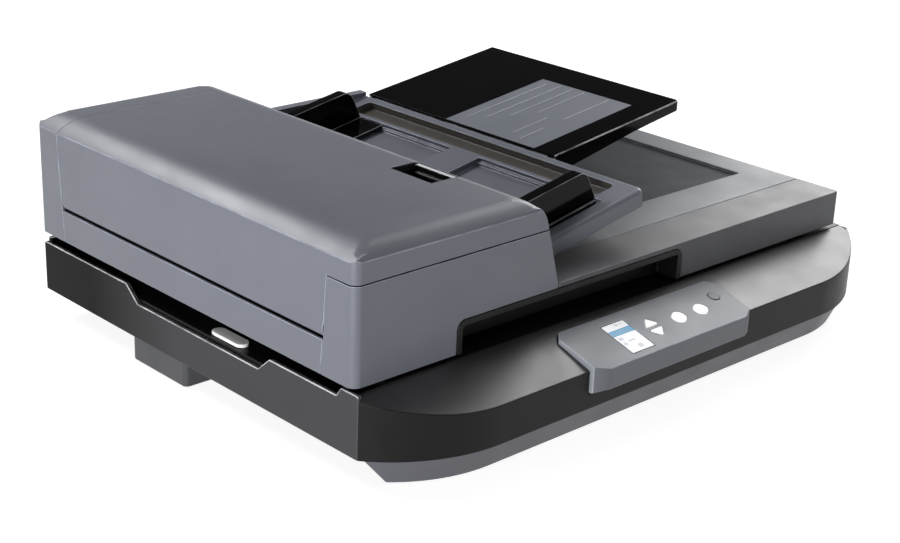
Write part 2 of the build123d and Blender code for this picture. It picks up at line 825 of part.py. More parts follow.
# Profile of the feeder: (x, z) down its left and right sides, (y, z) at its front and rear
roof_x = (26.0, feeder_width - 39.0)
left_shoulder = (9.5, feeder_height - 3.0)
right_shoulder = (feeder_width - 21.0, feeder_height - 6.0)
right_brow = (feeder_width - 12.5, feeder_height - 20.0)
roof_y = (20.0, lid_depth - 14.0)
front_shoulder = (6.5, feeder_height - 2.7)
rear_shoulder = (lid_depth - 4.2, feeder_height - 2.5)
shoulder_share = 0.7


def feeder_form(inset):
    """Outer form of the whole feeder, drawn in by inset on every side but its foot."""
    top = feeder_height - inset
    edge = feeder_edge_height - inset
    lean = shoulder_share * inset
    right = feeder_width - inset
    brow = (right_brow[0] - inset, right_brow[1])
    rear = lid_depth - inset
    with BuildPart() as form:
        with BuildSketch(cross(inset)) as profile:
            with BuildLine():
                Line((inset, 0), (inset, edge))
                shoulder = (left_shoulder[0] + lean, left_shoulder[1] - inset)
                ThreePointArc((inset, edge), shoulder, (roof_x[0], top))
                Line((roof_x[0], top), (roof_x[1], top))
                shoulder = (right_shoulder[0] - lean, right_shoulder[1] - lean)
                ThreePointArc((roof_x[1], top), shoulder, brow)
                Line(brow, (right, lid_height))
                Line((right, lid_height), (right, 0))
                Line((right, 0), (inset, 0))
            make_face()
        extrude(profile.sketch, amount=inset - rear)
        with BuildSketch(side(0)) as crown:
            with BuildLine():
                Line((inset, 0), (inset, edge))
                shoulder = (front_shoulder[0] + lean, front_shoulder[1] - inset)
                ThreePointArc((inset, edge), shoulder, (roof_y[0], top))
                Line((roof_y[0], top), (roof_y[1], top))
                shoulder = (rear_shoulder[0] - lean, rear_shoulder[1] - inset)
                ThreePointArc((roof_y[1], top), shoulder, (rear, edge))
                Line((rear, edge), (rear, 0))
                Line((rear, 0), (inset, 0))
            make_face()
        extrude(crown.sketch, amount=feeder_width, mode=Mode.INTERSECT)
        plan_left = inset - corner_relief
        plan_right = feeder_width + corner_radius
        with BuildSketch(level(0)) as plan:
            with Locations((middle_of((plan_left, plan_right)), paper_middle)):
                plan_depth = lid_depth - 2 * plan_left
                RectangleRounded(plan_right - plan_left, plan_depth, corner_radius - inset)
        extrude(plan.sketch, amount=feeder_height, mode=Mode.INTERSECT)
    return form.part


feeder_skin = feeder_form(0)
feeder_inside = feeder_form(wall)

# Seams of the feeder's hatch
band_z = feeder_height - 23.1
cheek_top = band_z - 0.6
hatch_foot_z = 24.6
strip_top = 24.0
seam_reach = 20.0
front_seam_top = (26.0, band_z)
front_seam_foot = (31.3, 0.0)
rear_seam_top = (lid_depth - 29.0, band_z)
rear_seam_foot = (lid_depth - 34.0, 0.0)
cheek_depth = 26.0
cap_front = lid_depth - 28.8
cap_wall = 2.5
hatch_axis_x = 4.4
hatch_axis_z = hatch_foot_z + hatch_axis_x
hatch_barrel_radius = 4.2
hatch_pin_radius = 1.5
hatch_pin_reach = 2.0
hatch_relief = 5.0
rear_zone = (cap_front, lid_depth)


def seam_y(top, foot, z):
    """Where a slanting seam stands at height z."""
    return foot[0] + (top[0] - foot[0]) * z / top[1]


def seam_slab(front, rear, z_span, x_span, mode=Mode.ADD):
    """A slab between two seams, each given as (top, foot, shift), over a span of heights."""
    corners = []
    for edge, heights in ((front, z_span), (rear, (z_span[1], z_span[0]))):
        for z in heights:
            corners.append((seam_y(edge[0], edge[1], z) + edge[2], z))
    slab_across(corners, x_span, mode)


front_seam = (front_seam_top, front_seam_foot)
rear_seam = (rear_seam_top, rear_seam_foot)
left_zone = (-beyond, seam_reach)
full_x = (-beyond, feeder_width + beyond)

# Front cheek: the fixed housing in front of the hatch
with BuildPart() as cheek_hollow:
    block(full_x, (0, cheek_depth - cap_wall), (0, cheek_top - wall))
    block(left_zone, (cheek_depth, cheek_depth + beyond + seam), (0, cheek_top))
    add(feeder_inside, mode=Mode.INTERSECT)

with BuildPart() as front_cheek:
    block(full_x, (-beyond, cheek_depth), (0, cheek_top))
    seam_slab(
        ((cheek_depth, band_z), (cheek_depth, 0), 0),
        (front_seam_top, front_seam_foot, 0),
        (0, cheek_top),
        left_zone,
    )
    add(feeder_skin, mode=Mode.INTERSECT)
    add(cheek_hollow.part, mode=Mode.SUBTRACT)
    block((frame_x[0], feeder_width + beyond), (frame_y[0], lid_depth), frame_z, Mode.SUBTRACT)
    add(grip_form(0, (-beyond, grip_depth)), mode=Mode.SUBTRACT)
    pin_hole = hatch_pin_radius + running_fit
    rod_back(hatch_axis_x, hatch_axis_z, pin_hole, (cheek_depth - cap_wall, cheek_depth), Mode.SUBTRACT)
save(front_cheek, "front_cheek")

# Rear cap: the fixed housing behind the hatch
shaft_radius = 3.0
shafts = {
    "feed_roller": (feeder_width - 71.0, 51.0),
    "turn_roller": (40.0, 51.0),
    "exit_roller": (feeder_width - 16.0, 22.0),
}
motor_axis = (84.0, 22.0)
shaft_room = 2.0

with BuildPart() as cap_hollow:
    block(full_x, (cap_front + cap_wall, lid_depth), (0, feeder_height))
    block(left_zone, (cap_front - 2 * beyond, cap_front), (0, feeder_height))
    add(feeder_inside, mode=Mode.INTERSECT)

with BuildPart() as rear_cap:
    block(full_x, rear_zone, (0, feeder_height))
    seam_slab(
        (rear_seam_top, rear_seam_foot, 0),
        ((cap_front, band_z), (cap_front, 0), 0),
        (0, band_z),
        left_zone,
    )
    add(feeder_skin, mode=Mode.INTERSECT)
    add(cap_hollow.part, mode=Mode.SUBTRACT)
    block((frame_x[0], feeder_width + beyond), (0, frame_y[1]), frame_z, Mode.SUBTRACT)
    for hole_x, hole_z in [*shafts.values(), motor_axis]:
        rod_back(hole_x, hole_z, shaft_radius + shaft_room, (cap_front, cap_front + cap_wall), Mode.SUBTRACT)
    rod_back(hatch_axis_x, hatch_axis_z, pin_hole, (cap_front, cap_front + cap_wall), Mode.SUBTRACT)
    notch_y = (lid_depth - wall, lid_depth)
    block(around(hinge_places[0], leaf_half + seam), notch_y, notch_z, Mode.SUBTRACT)
save(rear_cap, "rear_cap")

# Fixed strip below the hatch
with BuildPart() as lower_strip:
    seam_slab(
        (front_seam_top, front_seam_foot, seam),
        (rear_seam_top, rear_seam_foot, -seam),
        (0, strip_top),
        (0, wall),
    )
save(lower_strip, "lower_strip")

# Latch pocket of the hatch
pocket_x = (feeder_width - 56.0, feeder_width - 29.0)
pocket_y = (68.0, 109.0)
pocket_wall = 2.0
pocket_floor = 79.0
pocket_top = 87.0
latch_axis = (feeder_width - 35.4, 84.0)
latch_rod_radius = 2.0
latch_boss_y = (42.0, 46.0)
latch_boss_half = 4.0

with BuildPart() as hatch:
    block(full_x, (-beyond, cap_front - seam), (band_z, feeder_height))
    seam_slab(
        (front_seam_top, front_seam_foot, seam),
        (rear_seam_top, rear_seam_foot, -seam),
        (hatch_axis_z, band_z),
        left_zone,
    )
    add(feeder_skin, mode=Mode.INTERSECT)
    add(feeder_inside, mode=Mode.SUBTRACT)
    barrel_y = (
        seam_y(*front_seam, hatch_foot_z) + seam,
        seam_y(*rear_seam, hatch_foot_z) - seam,
    )
    rod_back(hatch_axis_x, hatch_axis_z, hatch_barrel_radius, barrel_y)
    relief_z = (hatch_foot_z, hatch_axis_z + hatch_relief)
    for relief_y in ((0, barrel_y[0]), (barrel_y[1], lid_depth)):
        block(left_zone, relief_y, relief_z, Mode.SUBTRACT)
    pin_y = (cheek_depth - hatch_pin_reach, cap_front + hatch_pin_reach)
    rod_back(hatch_axis_x, hatch_axis_z, hatch_pin_radius, pin_y)
    block(
        grown(pocket_x, pocket_wall),
        grown(pocket_y, pocket_wall),
        (pocket_floor - pocket_wall, pocket_top),
    )
    boss_z = (latch_axis[1] - latch_boss_half, feeder_height - wall / 2)
    block(around(latch_axis[0], latch_boss_half), latch_boss_y, boss_z)
    block(pocket_x, pocket_y, (pocket_floor, feeder_height + beyond), Mode.SUBTRACT)
    rod_hole_y = (latch_boss_y[0], pocket_y[1] + pocket_wall)
    rod_back(*latch_axis, latch_rod_radius + running_fit, rod_hole_y, Mode.SUBTRACT)
save(hatch, "hatch")

# Latch of the hatch: paddle, rod and hook
paddle_x = shifted((1.0, 4.8), latch_axis[0])
paddle_z = (80.0, 89.6)
hook_y = (36.0, 39.5)
hook_x = around(latch_axis[0], 1.8)
hook_toe = 2.0
hook_z = (57.5, 59.8)
keeper = (latch_axis[0] + 5.6, 62.0)
keeper_radius = 1.2

with BuildPart() as hatch_latch:
    block(paddle_x, grown(pocket_y, -1.0), paddle_z)
    rod_back(*latch_axis, latch_rod_radius, (hook_y[0], pocket_y[1] + pocket_wall))
    block(hook_x, hook_y, (hook_z[0], latch_axis[1]))
    block((hook_x[0], hook_x[1] + hook_toe), hook_y, hook_z)
save(hatch_latch, "hatch_latch")

# Feeder chassis: side plates, floor, throat plate, turn guide and separation holder
plate_front_y = (32.0, 35.0)
plate_rear_y = (lid_depth - 35.0, lid_depth - 32.0)
plate_outline = [
    (10.0, 3.0),
    (feeder_width - 3.0, 3.0),
    (feeder_width - 3.0, 30.0),
    (feeder_width - 7.0, 50.0),
    (feeder_width - 11.0, 64.0),
    (60.0, 64.0),
    (10.0, 50.0),
]
between_plates = (plate_front_y[1], plate_rear_y[0])
chassis_floor = (3.0, 5.0)
throat_x = (feeder_width - 61.0, feeder_width - 11.0)
throat_lip_x = (throat_x[1], throat_x[1] + 13.0)
throat_lip_y = (44.0, lid_depth - 44.0)
throat_z = (38.9, 40.5)
turn_centre = (34.0, 25.5)
turn_radius = 20.0
turn_thickness = 2.0
turn_keep = 6.0
separation_axis = (shafts["feed_roller"][0], 33.7)
separation_shaft_radius = 2.0
holder_x = around(separation_axis[0], 9.0)
holder_wall = 4.0
holder_y = around(paper_middle, 22.0)
holder_top = 38.0
tray_pivot = (feeder_width - 13.0, 48.0)
tray_pin_radius = 3.0
arm_gap = 1.2
arm_thickness = 4.0
front_arm_y = (between_plates[0] + arm_gap, between_plates[0] + arm_gap + arm_thickness)
rear_arm_y = (between_plates[1] - arm_gap - arm_thickness, between_plates[1] - arm_gap)

with BuildPart() as feeder_chassis:
    for plate_y in (plate_front_y, plate_rear_y):
        slab_back(plate_outline, plate_y)
    block((plate_outline[0][0], plate_outline[1][0]), (plate_front_y[0], plate_rear_y[1]), chassis_floor)
    block(scan_window_x, scan_window_y, chassis_floor, Mode.SUBTRACT)
    block(throat_x, between_plates, throat_z)
    block(throat_lip_x, throat_lip_y, throat_z)
    with BuildSketch(cross(between_plates[0])) as turn:
        with Locations(turn_centre):
            Circle(turn_radius)
            Circle(turn_radius - turn_thickness, mode=Mode.SUBTRACT)
        with Locations((turn_centre[0] - turn_keep - turn_radius / 2, turn_centre[1])):
            Rectangle(turn_radius, 2 * turn_radius, mode=Mode.INTERSECT)
    extrude(turn.sketch, amount=between_plates[0] - between_plates[1])
    for wall_y in end_walls(holder_y, holder_wall):
        block(holder_x, wall_y, (chassis_floor[0], holder_top))
    separation_hole = separation_shaft_radius + running_fit
    rod_back(*separation_axis, separation_hole, holder_y, Mode.SUBTRACT)
    for shaft_axis in [*shafts.values(), (scan_roller_x, scan_roller_z)]:
        rod_back(*shaft_axis, shaft_radius + running_fit, (0, lid_depth), Mode.SUBTRACT)
    rod_back(*motor_axis, shaft_radius, plate_rear_y, Mode.SUBTRACT)
    rod_back(*keeper, keeper_radius, (plate_front_y[1], hook_y[1]))
    rod_back(*tray_pivot, tray_pin_radius, (plate_front_y[0], front_arm_y[1]))
    rod_back(*tray_pivot, tray_pin_radius, (rear_arm_y[0], plate_rear_y[1]))
save(feeder_chassis, "feeder_chassis")

# Rollers of the feeder
shaft_y = (plate_front_y[0] - 2.0, lid_depth - 15.0)
roller_radius = 9.0
feed_band = around(paper_middle, 32.0)
outer_bands = end_walls(around(paper_middle, 82.0), 40.0)
roller_bands = {"feed_roller": [feed_band], "turn_roller": outer_bands, "exit_roller": outer_bands}
exit_radius = 8.0
feeder_pulley_radius = 8.0
feeder_pulley_y = (lid_depth - 23.0, lid_depth - 17.0)
feeder_belt_y = grown(feeder_pulley_y, -0.5)
motor_pulley_radius = 5.0
feeder_motor_radius = 14.0
feeder_motor_length = 29.0
feeder_belt_thickness = 1.2
motor_pin_radius = 2.0
motor_pin_reach = 10.0

for roller_name, shaft_axis in shafts.items():
    band_radius = exit_radius if roller_name == "exit_roller" else roller_radius
    with BuildPart() as roller:
        rod_back(*shaft_axis, shaft_radius, shaft_y)
        for band_y in roller_bands[roller_name]:
            rod_back(*shaft_axis, band_radius, band_y)
        rod_back(*shaft_axis, feeder_pulley_radius, feeder_pulley_y)
    save(roller, roller_name)

with BuildPart() as scan_roller:
    rod_back(scan_roller_x, scan_roller_z, shaft_radius, (plate_front_y[0], plate_rear_y[1]))
    rod_back(scan_roller_x, scan_roller_z, scan_roller_radius, grown(scan_window_y, -4.0))
save(scan_roller, "scan_roller")

separation_radius = 8.0
with BuildPart() as separation_roller:
    rod_back(*separation_axis, separation_shaft_radius, holder_y)
    rod_back(*separation_axis, separation_radius, grown(holder_y, -holder_wall - 1.0))
save(separation_roller, "separation_roller")

pick_axis = (feeder_width - 39.0, 49.8)
pick_arm_y = around(paper_middle, 36.0)
pick_arm_wall = 3.0
pick_boss = 6.0
pick_shaft_radius = 2.0
pick_bar_x = (feeder_width - 58.0, feeder_width - 52.0)
feed_axis = shafts["feed_roller"]

with BuildPart() as pick_arm:
    for arm_y in end_walls(pick_arm_y, pick_arm_wall):
        rod_back(*feed_axis, pick_boss, arm_y)
        rod_back(*pick_axis, pick_boss, arm_y)
        slab_back(
            [
                (feed_axis[0], feed_axis[1] - pick_boss),
                (pick_axis[0], pick_axis[1] - pick_boss),
                (pick_axis[0], pick_axis[1] + pick_boss),
                (feed_axis[0], feed_axis[1] + pick_boss),
            ],
            arm_y,
        )
    block(pick_bar_x, pick_arm_y, around(feed_axis[1], pick_boss / 2))
    rod_back(*feed_axis, shaft_radius + running_fit, pick_arm_y, Mode.SUBTRACT)
    rod_back(*pick_axis, pick_shaft_radius + running_fit, pick_arm_y, Mode.SUBTRACT)
save(pick_arm, "pick_arm")

with BuildPart() as pick_roller:
    rod_back(*pick_axis, pick_shaft_radius, pick_arm_y)
    rod_back(*pick_axis, roller_radius, grown(pick_arm_y, -pick_boss - pick_arm_wall))
save(pick_roller, "pick_roller")

# Feeder motor, its pulley and the belt round the four pulleys
with BuildPart() as feeder_motor:
    rod_back(*motor_axis, feeder_motor_radius, (plate_rear_y[0] - feeder_motor_length, plate_rear_y[0]))
    motor_bore_y = (plate_rear_y[0] - motor_pin_reach - clearance, plate_rear_y[0])
    rod_back(*motor_axis, motor_pin_radius + running_fit, motor_bore_y, Mode.SUBTRACT)
save(feeder_motor, "feeder_motor")

with BuildPart() as motor_pulley:
    rod_back(*motor_axis, motor_pin_radius, (plate_rear_y[0] - motor_pin_reach, feeder_pulley_y[1]))
    rod_back(*motor_axis, motor_pulley_radius, feeder_pulley_y)
save(motor_pulley, "motor_pulley")


def belt_outline(growth):
    """The loop round the feeder's four pulleys, growth away from them."""
    with BuildSketch(cross(feeder_belt_y[0])) as outline:
        with BuildLine():
            for belt_x, belt_height in shafts.values():
                CenterArc((belt_x, belt_height), feeder_pulley_radius + growth, 0, 360)
            CenterArc(motor_axis, motor_pulley_radius + growth, 0, 360)
        make_hull()
    return outline.sketch


with BuildPart() as feeder_belt:
    belt_length = feeder_belt_y[0] - feeder_belt_y[1]
    extrude(belt_outline(belt_gap + feeder_belt_thickness), amount=belt_length)
    extrude(belt_outline(belt_gap), amount=belt_length, mode=Mode.SUBTRACT)
save(feeder_belt, "feeder_belt")

# Input tray, drawn on its own sloping plane: u up the slope from its outer end
tray_end = (feeder_width + 113.0, 65.0)
tray_slope = 0.19
tray_tilt = atan(tray_slope)
tray_length = 110.0
tray_y = (25.0, lid_depth - 26.0)
tray_thickness = 13.0
tray_corner = 6.0
tray_edge_round = 3.5
channel_u = (-29.0, -8.7)
channel_y = (46.0, lid_depth - 46.0)
channel_depth = 6.0
channel_round = 5.0
bed_right = -32.5
bed_y = (37.0, lid_depth - 49.0)
bed_depth = 5.0
ledge_width_u = 3.0
ledge_depth = 3.0
platform_y = (paper_middle - 19.0, paper_middle + 12.5)
tray_skin = 3.5
tray_rim = 4.0
tray_relief_u = -90.0
fence_y = (tray_y[1] - 8.0, tray_y[1])
fence_x = (feeder_width + 6.0, tray_end[0] - 2.0)
fence_top = 68.0
arm_radius = 6.0
arm_half = 5.0
arm_link = [
    (tray_pivot[0], tray_pivot[1] - arm_half),
    (feeder_width - 1.0, 38.5),
    (feeder_width + 11.0, 33.5),
    (feeder_width + 11.0, 39.0),
    (feeder_width + 4.0, 42.5),
    (tray_pivot[0], tray_pivot[1] + arm_half),
]

# Guides and their rack drive
guide_middle = paper_middle - 6.0
guide_half_width = paper_middle - 58.0
guide_thickness = 10.0
guide_height = 25.0
guide_u = (-104.0, -34.0)
guide_foot_reach = 27.0
guide_foot_lip = 1.0
guide_foot_h = (-2.6, -0.2)
guide_travel = 50.0
guide_wall = 2.5
guide_shape = [
    (guide_u[0], guide_foot_h[0]),
    (guide_u[1], guide_foot_h[0]),
    (guide_u[1], guide_foot_h[1]),
    (-34.6, 3.0),
    (-36.4, 10.0),
    (-38.4, 17.0),
    (-40.6, 21.8),
    (-43.4, 24.2),
    (-46.5, guide_height),
    (guide_u[0], guide_height),
]
pinion_u = -70.0
pinion_radius = 4.0
pinion_pin_radius = 2.0
rack_gap = 0.3
rack_width = 4.6
rack_h = (-12.3, -9.3)
rack_overrun = 21.0
neck_start = 8.0
neck_length = 8.0
pinion_teeth = 12
tooth_depth = 0.7


def tray_plane(height):
    """A plane over the tray's top: x up the slope from its outer end, y back."""
    start = Plane(
        origin=(lid_left + tray_end[0], lid_front, base_height + tray_end[1]),
        x_dir=(cos(tray_tilt), 0, sin(tray_tilt)),
        z_dir=(-sin(tray_tilt), 0, cos(tray_tilt)),
    )
    return start.offset(height)


def tray_side(y):
    """An upright plane along the tray's slope at y; its own y stands off the tray."""
    return Plane(
        origin=(lid_left + tray_end[0], lid_front + y, base_height + tray_end[1]),
        x_dir=(cos(tray_tilt), 0, sin(tray_tilt)),
        z_dir=(0, -1, 0),
    )


def tray_block(u_span, y_span, h_span, mode=Mode.ADD):
    """A block square to the tray's slope."""
    with BuildSketch(tray_plane(h_span[0])) as outline:
        with Locations((middle_of(u_span), middle_of(y_span))):
            Rectangle(u_span[1] - u_span[0], y_span[1] - y_span[0])
    extrude(outline.sketch, amount=h_span[1] - h_span[0], mode=mode)


def tray_pin(u, y, radius, h_span, mode=Mode.ADD):
    """A round pin square to the tray's slope."""
    with BuildSketch(tray_plane(h_span[0])) as circle:
        with Locations((u, y)):
            Circle(radius)
    extrude(circle.sketch, amount=h_span[1] - h_span[0], mode=mode)


def guide_slab(points, y_span, mode=Mode.ADD):
    """A prism along the depth with the corners given as (u, height over the tray)."""
    prism(tray_side(y_span[0]), points, y_span[0] - y_span[1], mode)


rack_outer = pinion_radius + rack_gap
guides = {
    "front_guide": (-1, (pinion_u - rack_outer - rack_width, pinion_u - rack_outer)),
    "rear_guide": (1, (pinion_u + rack_outer, pinion_u + rack_outer + rack_width)),
}


def guide_span(turn, near, far):
    """A span across the tray, from near to far on one side of the guides' middle."""
    ends = (guide_middle + turn * near, guide_middle + turn * far)
    return (min(ends), max(ends))


neck_near = guide_half_width - neck_start - neck_length
neck_far = guide_half_width - neck_start

# Extension of the tray: a hinged leaf with its own slope
leaf_axis = (tray_end[0] + 9.0, 60.2)
leaf_rise = 5.35
leaf_barrel_radius = 4.8
leaf_slope = 0.14
leaf_brim_x = leaf_axis[0] - 5.2
leaf_brim = 1.5
leaf_root_x = leaf_axis[0] + 5.0
leaf_waist_x = leaf_axis[0] + 83.0
leaf_tip_x = leaf_axis[0] + 138.0
leaf_y_span = (paper_middle - 64.0, lid_depth - 30.6)
leaf_skin = 4.0
leaf_wall = 3.0
leaf_root_thickness = 15.0
leaf_waist_thickness = 9.5
leaf_tip_thickness = 8.5
leaf_front_corner = 4.0
leaf_rear_corner = 8.0
leaf_edge_round = 1.4
leaf_pin_radius = 1.5
lug_radius = 3.2
lug_thickness = 4.2
lug_spans = end_walls(grown(leaf_y_span, -leaf_wall - seam), lug_thickness)
lug_foot_x = tray_end[0] - 1.0
lug_foot_z = (leaf_axis[1] - 7.6, leaf_axis[1] - 5.1)
lug_shape = [
    (lug_foot_x, lug_foot_z[1]),
    (leaf_axis[0] - lug_radius, lug_foot_z[1]),
    (leaf_axis[0] - lug_radius, leaf_axis[1]),
    (leaf_axis[0] + 2.2, leaf_axis[1]),
    (leaf_axis[0] + 2.2, leaf_axis[1] - 5.5),
    (leaf_axis[0] - 0.5, lug_foot_z[0]),
    (lug_foot_x, lug_foot_z[0]),
]
slot_right = leaf_axis[0] + 2.2 + seam
slot_z = (leaf_axis[1] - leaf_root_thickness, leaf_axis[1] + 3.0)

with BuildPart() as input_tray:
    tray_block((-tray_length, 0), tray_y, (-tray_thickness, 0))
    end_edges = input_tray.edges().filter_by(Axis((0, 0, 0), (-sin(tray_tilt), 0, cos(tray_tilt))))
    fillet(end_edges.sort_by(Axis.X)[-2:], tray_corner)
    top_face = input_tray.faces().sort_by(Axis((0, 0, 0), (-sin(tray_tilt), 0, cos(tray_tilt))))[-1]
    fillet(top_face.edges().sort_by(Axis.X)[1:], tray_edge_round)
    with BuildSketch(tray_plane(-channel_depth)) as channel:
        with Locations((middle_of(channel_u), middle_of(channel_y))):
            RectangleRounded(channel_u[1] - channel_u[0], channel_y[1] - channel_y[0], channel_round)
    extrude(channel.sketch, amount=channel_depth + beyond, mode=Mode.SUBTRACT)
    for bed_part in ((bed_y[0], platform_y[0]), (platform_y[1], bed_y[1])):
        for bed_end, depth in ((bed_right, ledge_depth), (bed_right - ledge_width_u, bed_depth)):
            tray_block((-tray_length - beyond, bed_end), bed_part, (-depth, beyond), Mode.SUBTRACT)
    tray_block(
        (tray_rim - tray_length, bed_right),
        grown(tray_y, -tray_rim),
        (-tray_thickness - beyond, -bed_depth - tray_skin),
        Mode.SUBTRACT,
    )
    tray_block(
        (-tray_length - beyond, tray_relief_u),
        throat_lip_y,
        (-tray_thickness - beyond, -bed_depth - tray_skin),
        Mode.SUBTRACT,
    )
    fence_feet = [(x, tray_end[1] - (tray_end[0] - x) * tray_slope - wall) for x in fence_x]
    slab_back([*fence_feet, (fence_x[1], fence_top), (fence_x[0], fence_top)], fence_y)
    for arm_y in (front_arm_y, rear_arm_y):
        rod_back(*tray_pivot, arm_radius, arm_y)
        slab_back(arm_link, arm_y)
        rod_back(*tray_pivot, tray_pin_radius + running_fit, arm_y, Mode.SUBTRACT)
    for lug_y in lug_spans:
        rod_back(*leaf_axis, lug_radius, lug_y)
        slab_back(lug_shape, lug_y)
        rod_back(*leaf_axis, leaf_pin_radius + running_fit, lug_y, Mode.SUBTRACT)
    for turn, rack_u in guides.values():
        slot_y = guide_span(turn, neck_near - guide_travel - clearance, neck_far + clearance)
        tray_block(grown(rack_u, clearance), slot_y, (-tray_thickness, beyond), Mode.SUBTRACT)
    tray_pin(pinion_u, guide_middle, pinion_pin_radius, (-tray_thickness, -bed_depth - tray_skin))
save(input_tray, "input_tray")

for guide_name, (turn, rack_u) in guides.items():
    with BuildPart() as guide:
        guide_slab(guide_shape, guide_span(turn, guide_half_width, guide_half_width + guide_thickness))
        hollow_far = guide_half_width + guide_thickness - guide_wall
        hollow_y = guide_span(turn, guide_half_width + guide_wall, hollow_far)
        hollow_u = (guide_u[0] + guide_wall, guide_shape[-2][0])
        hollow_h = (guide_foot_h[1], guide_height - guide_wall)
        tray_block(hollow_u, hollow_y, hollow_h, Mode.SUBTRACT)
        foot_far = guide_half_width + guide_thickness + guide_foot_lip
        foot_y = guide_span(turn, guide_half_width - guide_foot_reach, foot_far)
        tray_block(guide_u, foot_y, guide_foot_h)
        tray_block(rack_u, guide_span(turn, neck_near, neck_far), (rack_h[0], guide_foot_h[0]))
        tray_block(rack_u, guide_span(turn, -rack_overrun, neck_far), rack_h)
    save(guide, guide_name)

with BuildPart() as guide_pinion:
    tray_pin(pinion_u, guide_middle, pinion_radius - rack_gap, rack_h)
    tooth_step = 2 * pi / pinion_teeth
    for tooth in range(pinion_teeth):
        cut_u = pinion_u + pinion_radius * cos(tooth * tooth_step)
        cut_y = guide_middle + pinion_radius * sin(tooth * tooth_step)
        tray_pin(cut_u, cut_y, tooth_depth, rack_h, Mode.SUBTRACT)
    tray_pin(pinion_u, guide_middle, pinion_pin_radius + running_fit, rack_h, Mode.SUBTRACT)
save(guide_pinion, "guide_pinion")


def leaf_top(x):
    """Height of the extension's top at x."""
    return leaf_axis[1] + leaf_rise + (x - leaf_axis[0]) * leaf_slope


leaf_outline = [
    (leaf_brim_x, leaf_top(leaf_brim_x)),
    (leaf_tip_x, leaf_top(leaf_tip_x)),
    (leaf_tip_x, leaf_top(leaf_tip_x) - leaf_tip_thickness),
    (leaf_waist_x, leaf_top(leaf_waist_x) - leaf_waist_thickness),
    (leaf_root_x, leaf_top(leaf_root_x) - leaf_root_thickness),
    (leaf_axis[0], leaf_axis[1] - leaf_barrel_radius),
    leaf_axis,
    (leaf_brim_x, leaf_top(leaf_brim_x) - leaf_brim),
]
inlay_x = (leaf_brim_x + 0.8, leaf_axis[0] + 106.5)
inlay_y = (paper_middle - 41.0, paper_middle + 58.0)
inlay_thickness = 0.7
inlay_sink = 0.1

with BuildPart() as tray_extension:
    slab_back(leaf_outline, leaf_y_span)
    tip_edges = tray_extension.edges().filter_by(Axis.Z).sort_by(Axis.X)[-2:].sort_by(Axis.Y)
    fillet(tip_edges[0], leaf_front_corner)
    fillet(tray_extension.edges().filter_by(Axis.Z).sort_by(Axis.Y)[-1], leaf_rear_corner)
    top_edges = tray_extension.faces().sort_by(SortBy.AREA)[-1].edges().sort_by(Axis.X)[1:]
    fillet(top_edges, leaf_edge_round)
    slab_back(
        [
            (leaf_root_x + leaf_wall, leaf_top(leaf_root_x) - leaf_skin),
            (leaf_tip_x - leaf_wall, leaf_top(leaf_tip_x) - leaf_skin),
            (leaf_tip_x - leaf_wall, leaf_axis[1] - leaf_tip_thickness),
            (leaf_root_x + leaf_wall, leaf_axis[1] - 2 * leaf_root_thickness),
        ],
        grown(leaf_y_span, -leaf_wall),
        Mode.SUBTRACT,
    )
    rod_back(*leaf_axis, leaf_barrel_radius, leaf_y_span)
    for lug_y in lug_spans:
        slot_y = grown(lug_y, seam)
        rod_back(*leaf_axis, lug_radius + seam, slot_y, Mode.SUBTRACT)
        block((leaf_brim_x - beyond, slot_right), slot_y, slot_z, Mode.SUBTRACT)
    rod_back(*leaf_axis, leaf_pin_radius, leaf_y_span)
    slab_back(
        [
            (inlay_x[0], leaf_top(inlay_x[0]) - inlay_thickness),
            (inlay_x[1], leaf_top(inlay_x[1]) - inlay_thickness),
            (inlay_x[1], leaf_top(inlay_x[1]) + beyond),
            (inlay_x[0], leaf_top(inlay_x[0]) + beyond),
        ],
        inlay_y,
        Mode.SUBTRACT,
    )
save(tray_extension, "tray_extension")

with BuildPart() as extension_inlay:
    slab_back(
        [
            (inlay_x[0], leaf_top(inlay_x[0]) - inlay_thickness),
            (inlay_x[1], leaf_top(inlay_x[1]) - inlay_thickness),
            (inlay_x[1], leaf_top(inlay_x[1]) - inlay_sink),
            (inlay_x[0], leaf_top(inlay_x[0]) - inlay_sink),
        ],
        inlay_y,
    )
save(extension_inlay, "extension_inlay")
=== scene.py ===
# Finishes, small surface detail, light and camera of the document scanner
import json
import math

import bmesh
import bpy
from mathutils import Matrix, Vector


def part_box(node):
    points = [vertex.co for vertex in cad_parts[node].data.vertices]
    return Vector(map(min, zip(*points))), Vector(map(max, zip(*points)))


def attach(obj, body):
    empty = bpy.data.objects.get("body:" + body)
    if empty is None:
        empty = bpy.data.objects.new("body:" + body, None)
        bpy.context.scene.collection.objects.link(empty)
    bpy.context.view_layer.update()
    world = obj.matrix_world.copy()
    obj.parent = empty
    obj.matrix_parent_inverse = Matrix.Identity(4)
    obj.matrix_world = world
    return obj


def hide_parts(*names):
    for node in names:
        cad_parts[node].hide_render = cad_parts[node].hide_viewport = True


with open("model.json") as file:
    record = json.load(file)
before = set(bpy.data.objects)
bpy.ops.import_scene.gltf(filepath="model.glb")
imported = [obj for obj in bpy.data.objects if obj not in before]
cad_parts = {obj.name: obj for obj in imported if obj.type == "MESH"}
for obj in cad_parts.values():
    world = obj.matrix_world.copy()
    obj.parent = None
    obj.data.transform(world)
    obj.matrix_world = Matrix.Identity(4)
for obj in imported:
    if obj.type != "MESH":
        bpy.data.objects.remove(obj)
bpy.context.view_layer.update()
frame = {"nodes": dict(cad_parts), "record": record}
scene = bpy.context.scene
nodes = frame["nodes"]
BODY_OF = {
    node: body
    for body, members in frame["record"]["behaviour"]["bodies"].items()
    for node in members
}

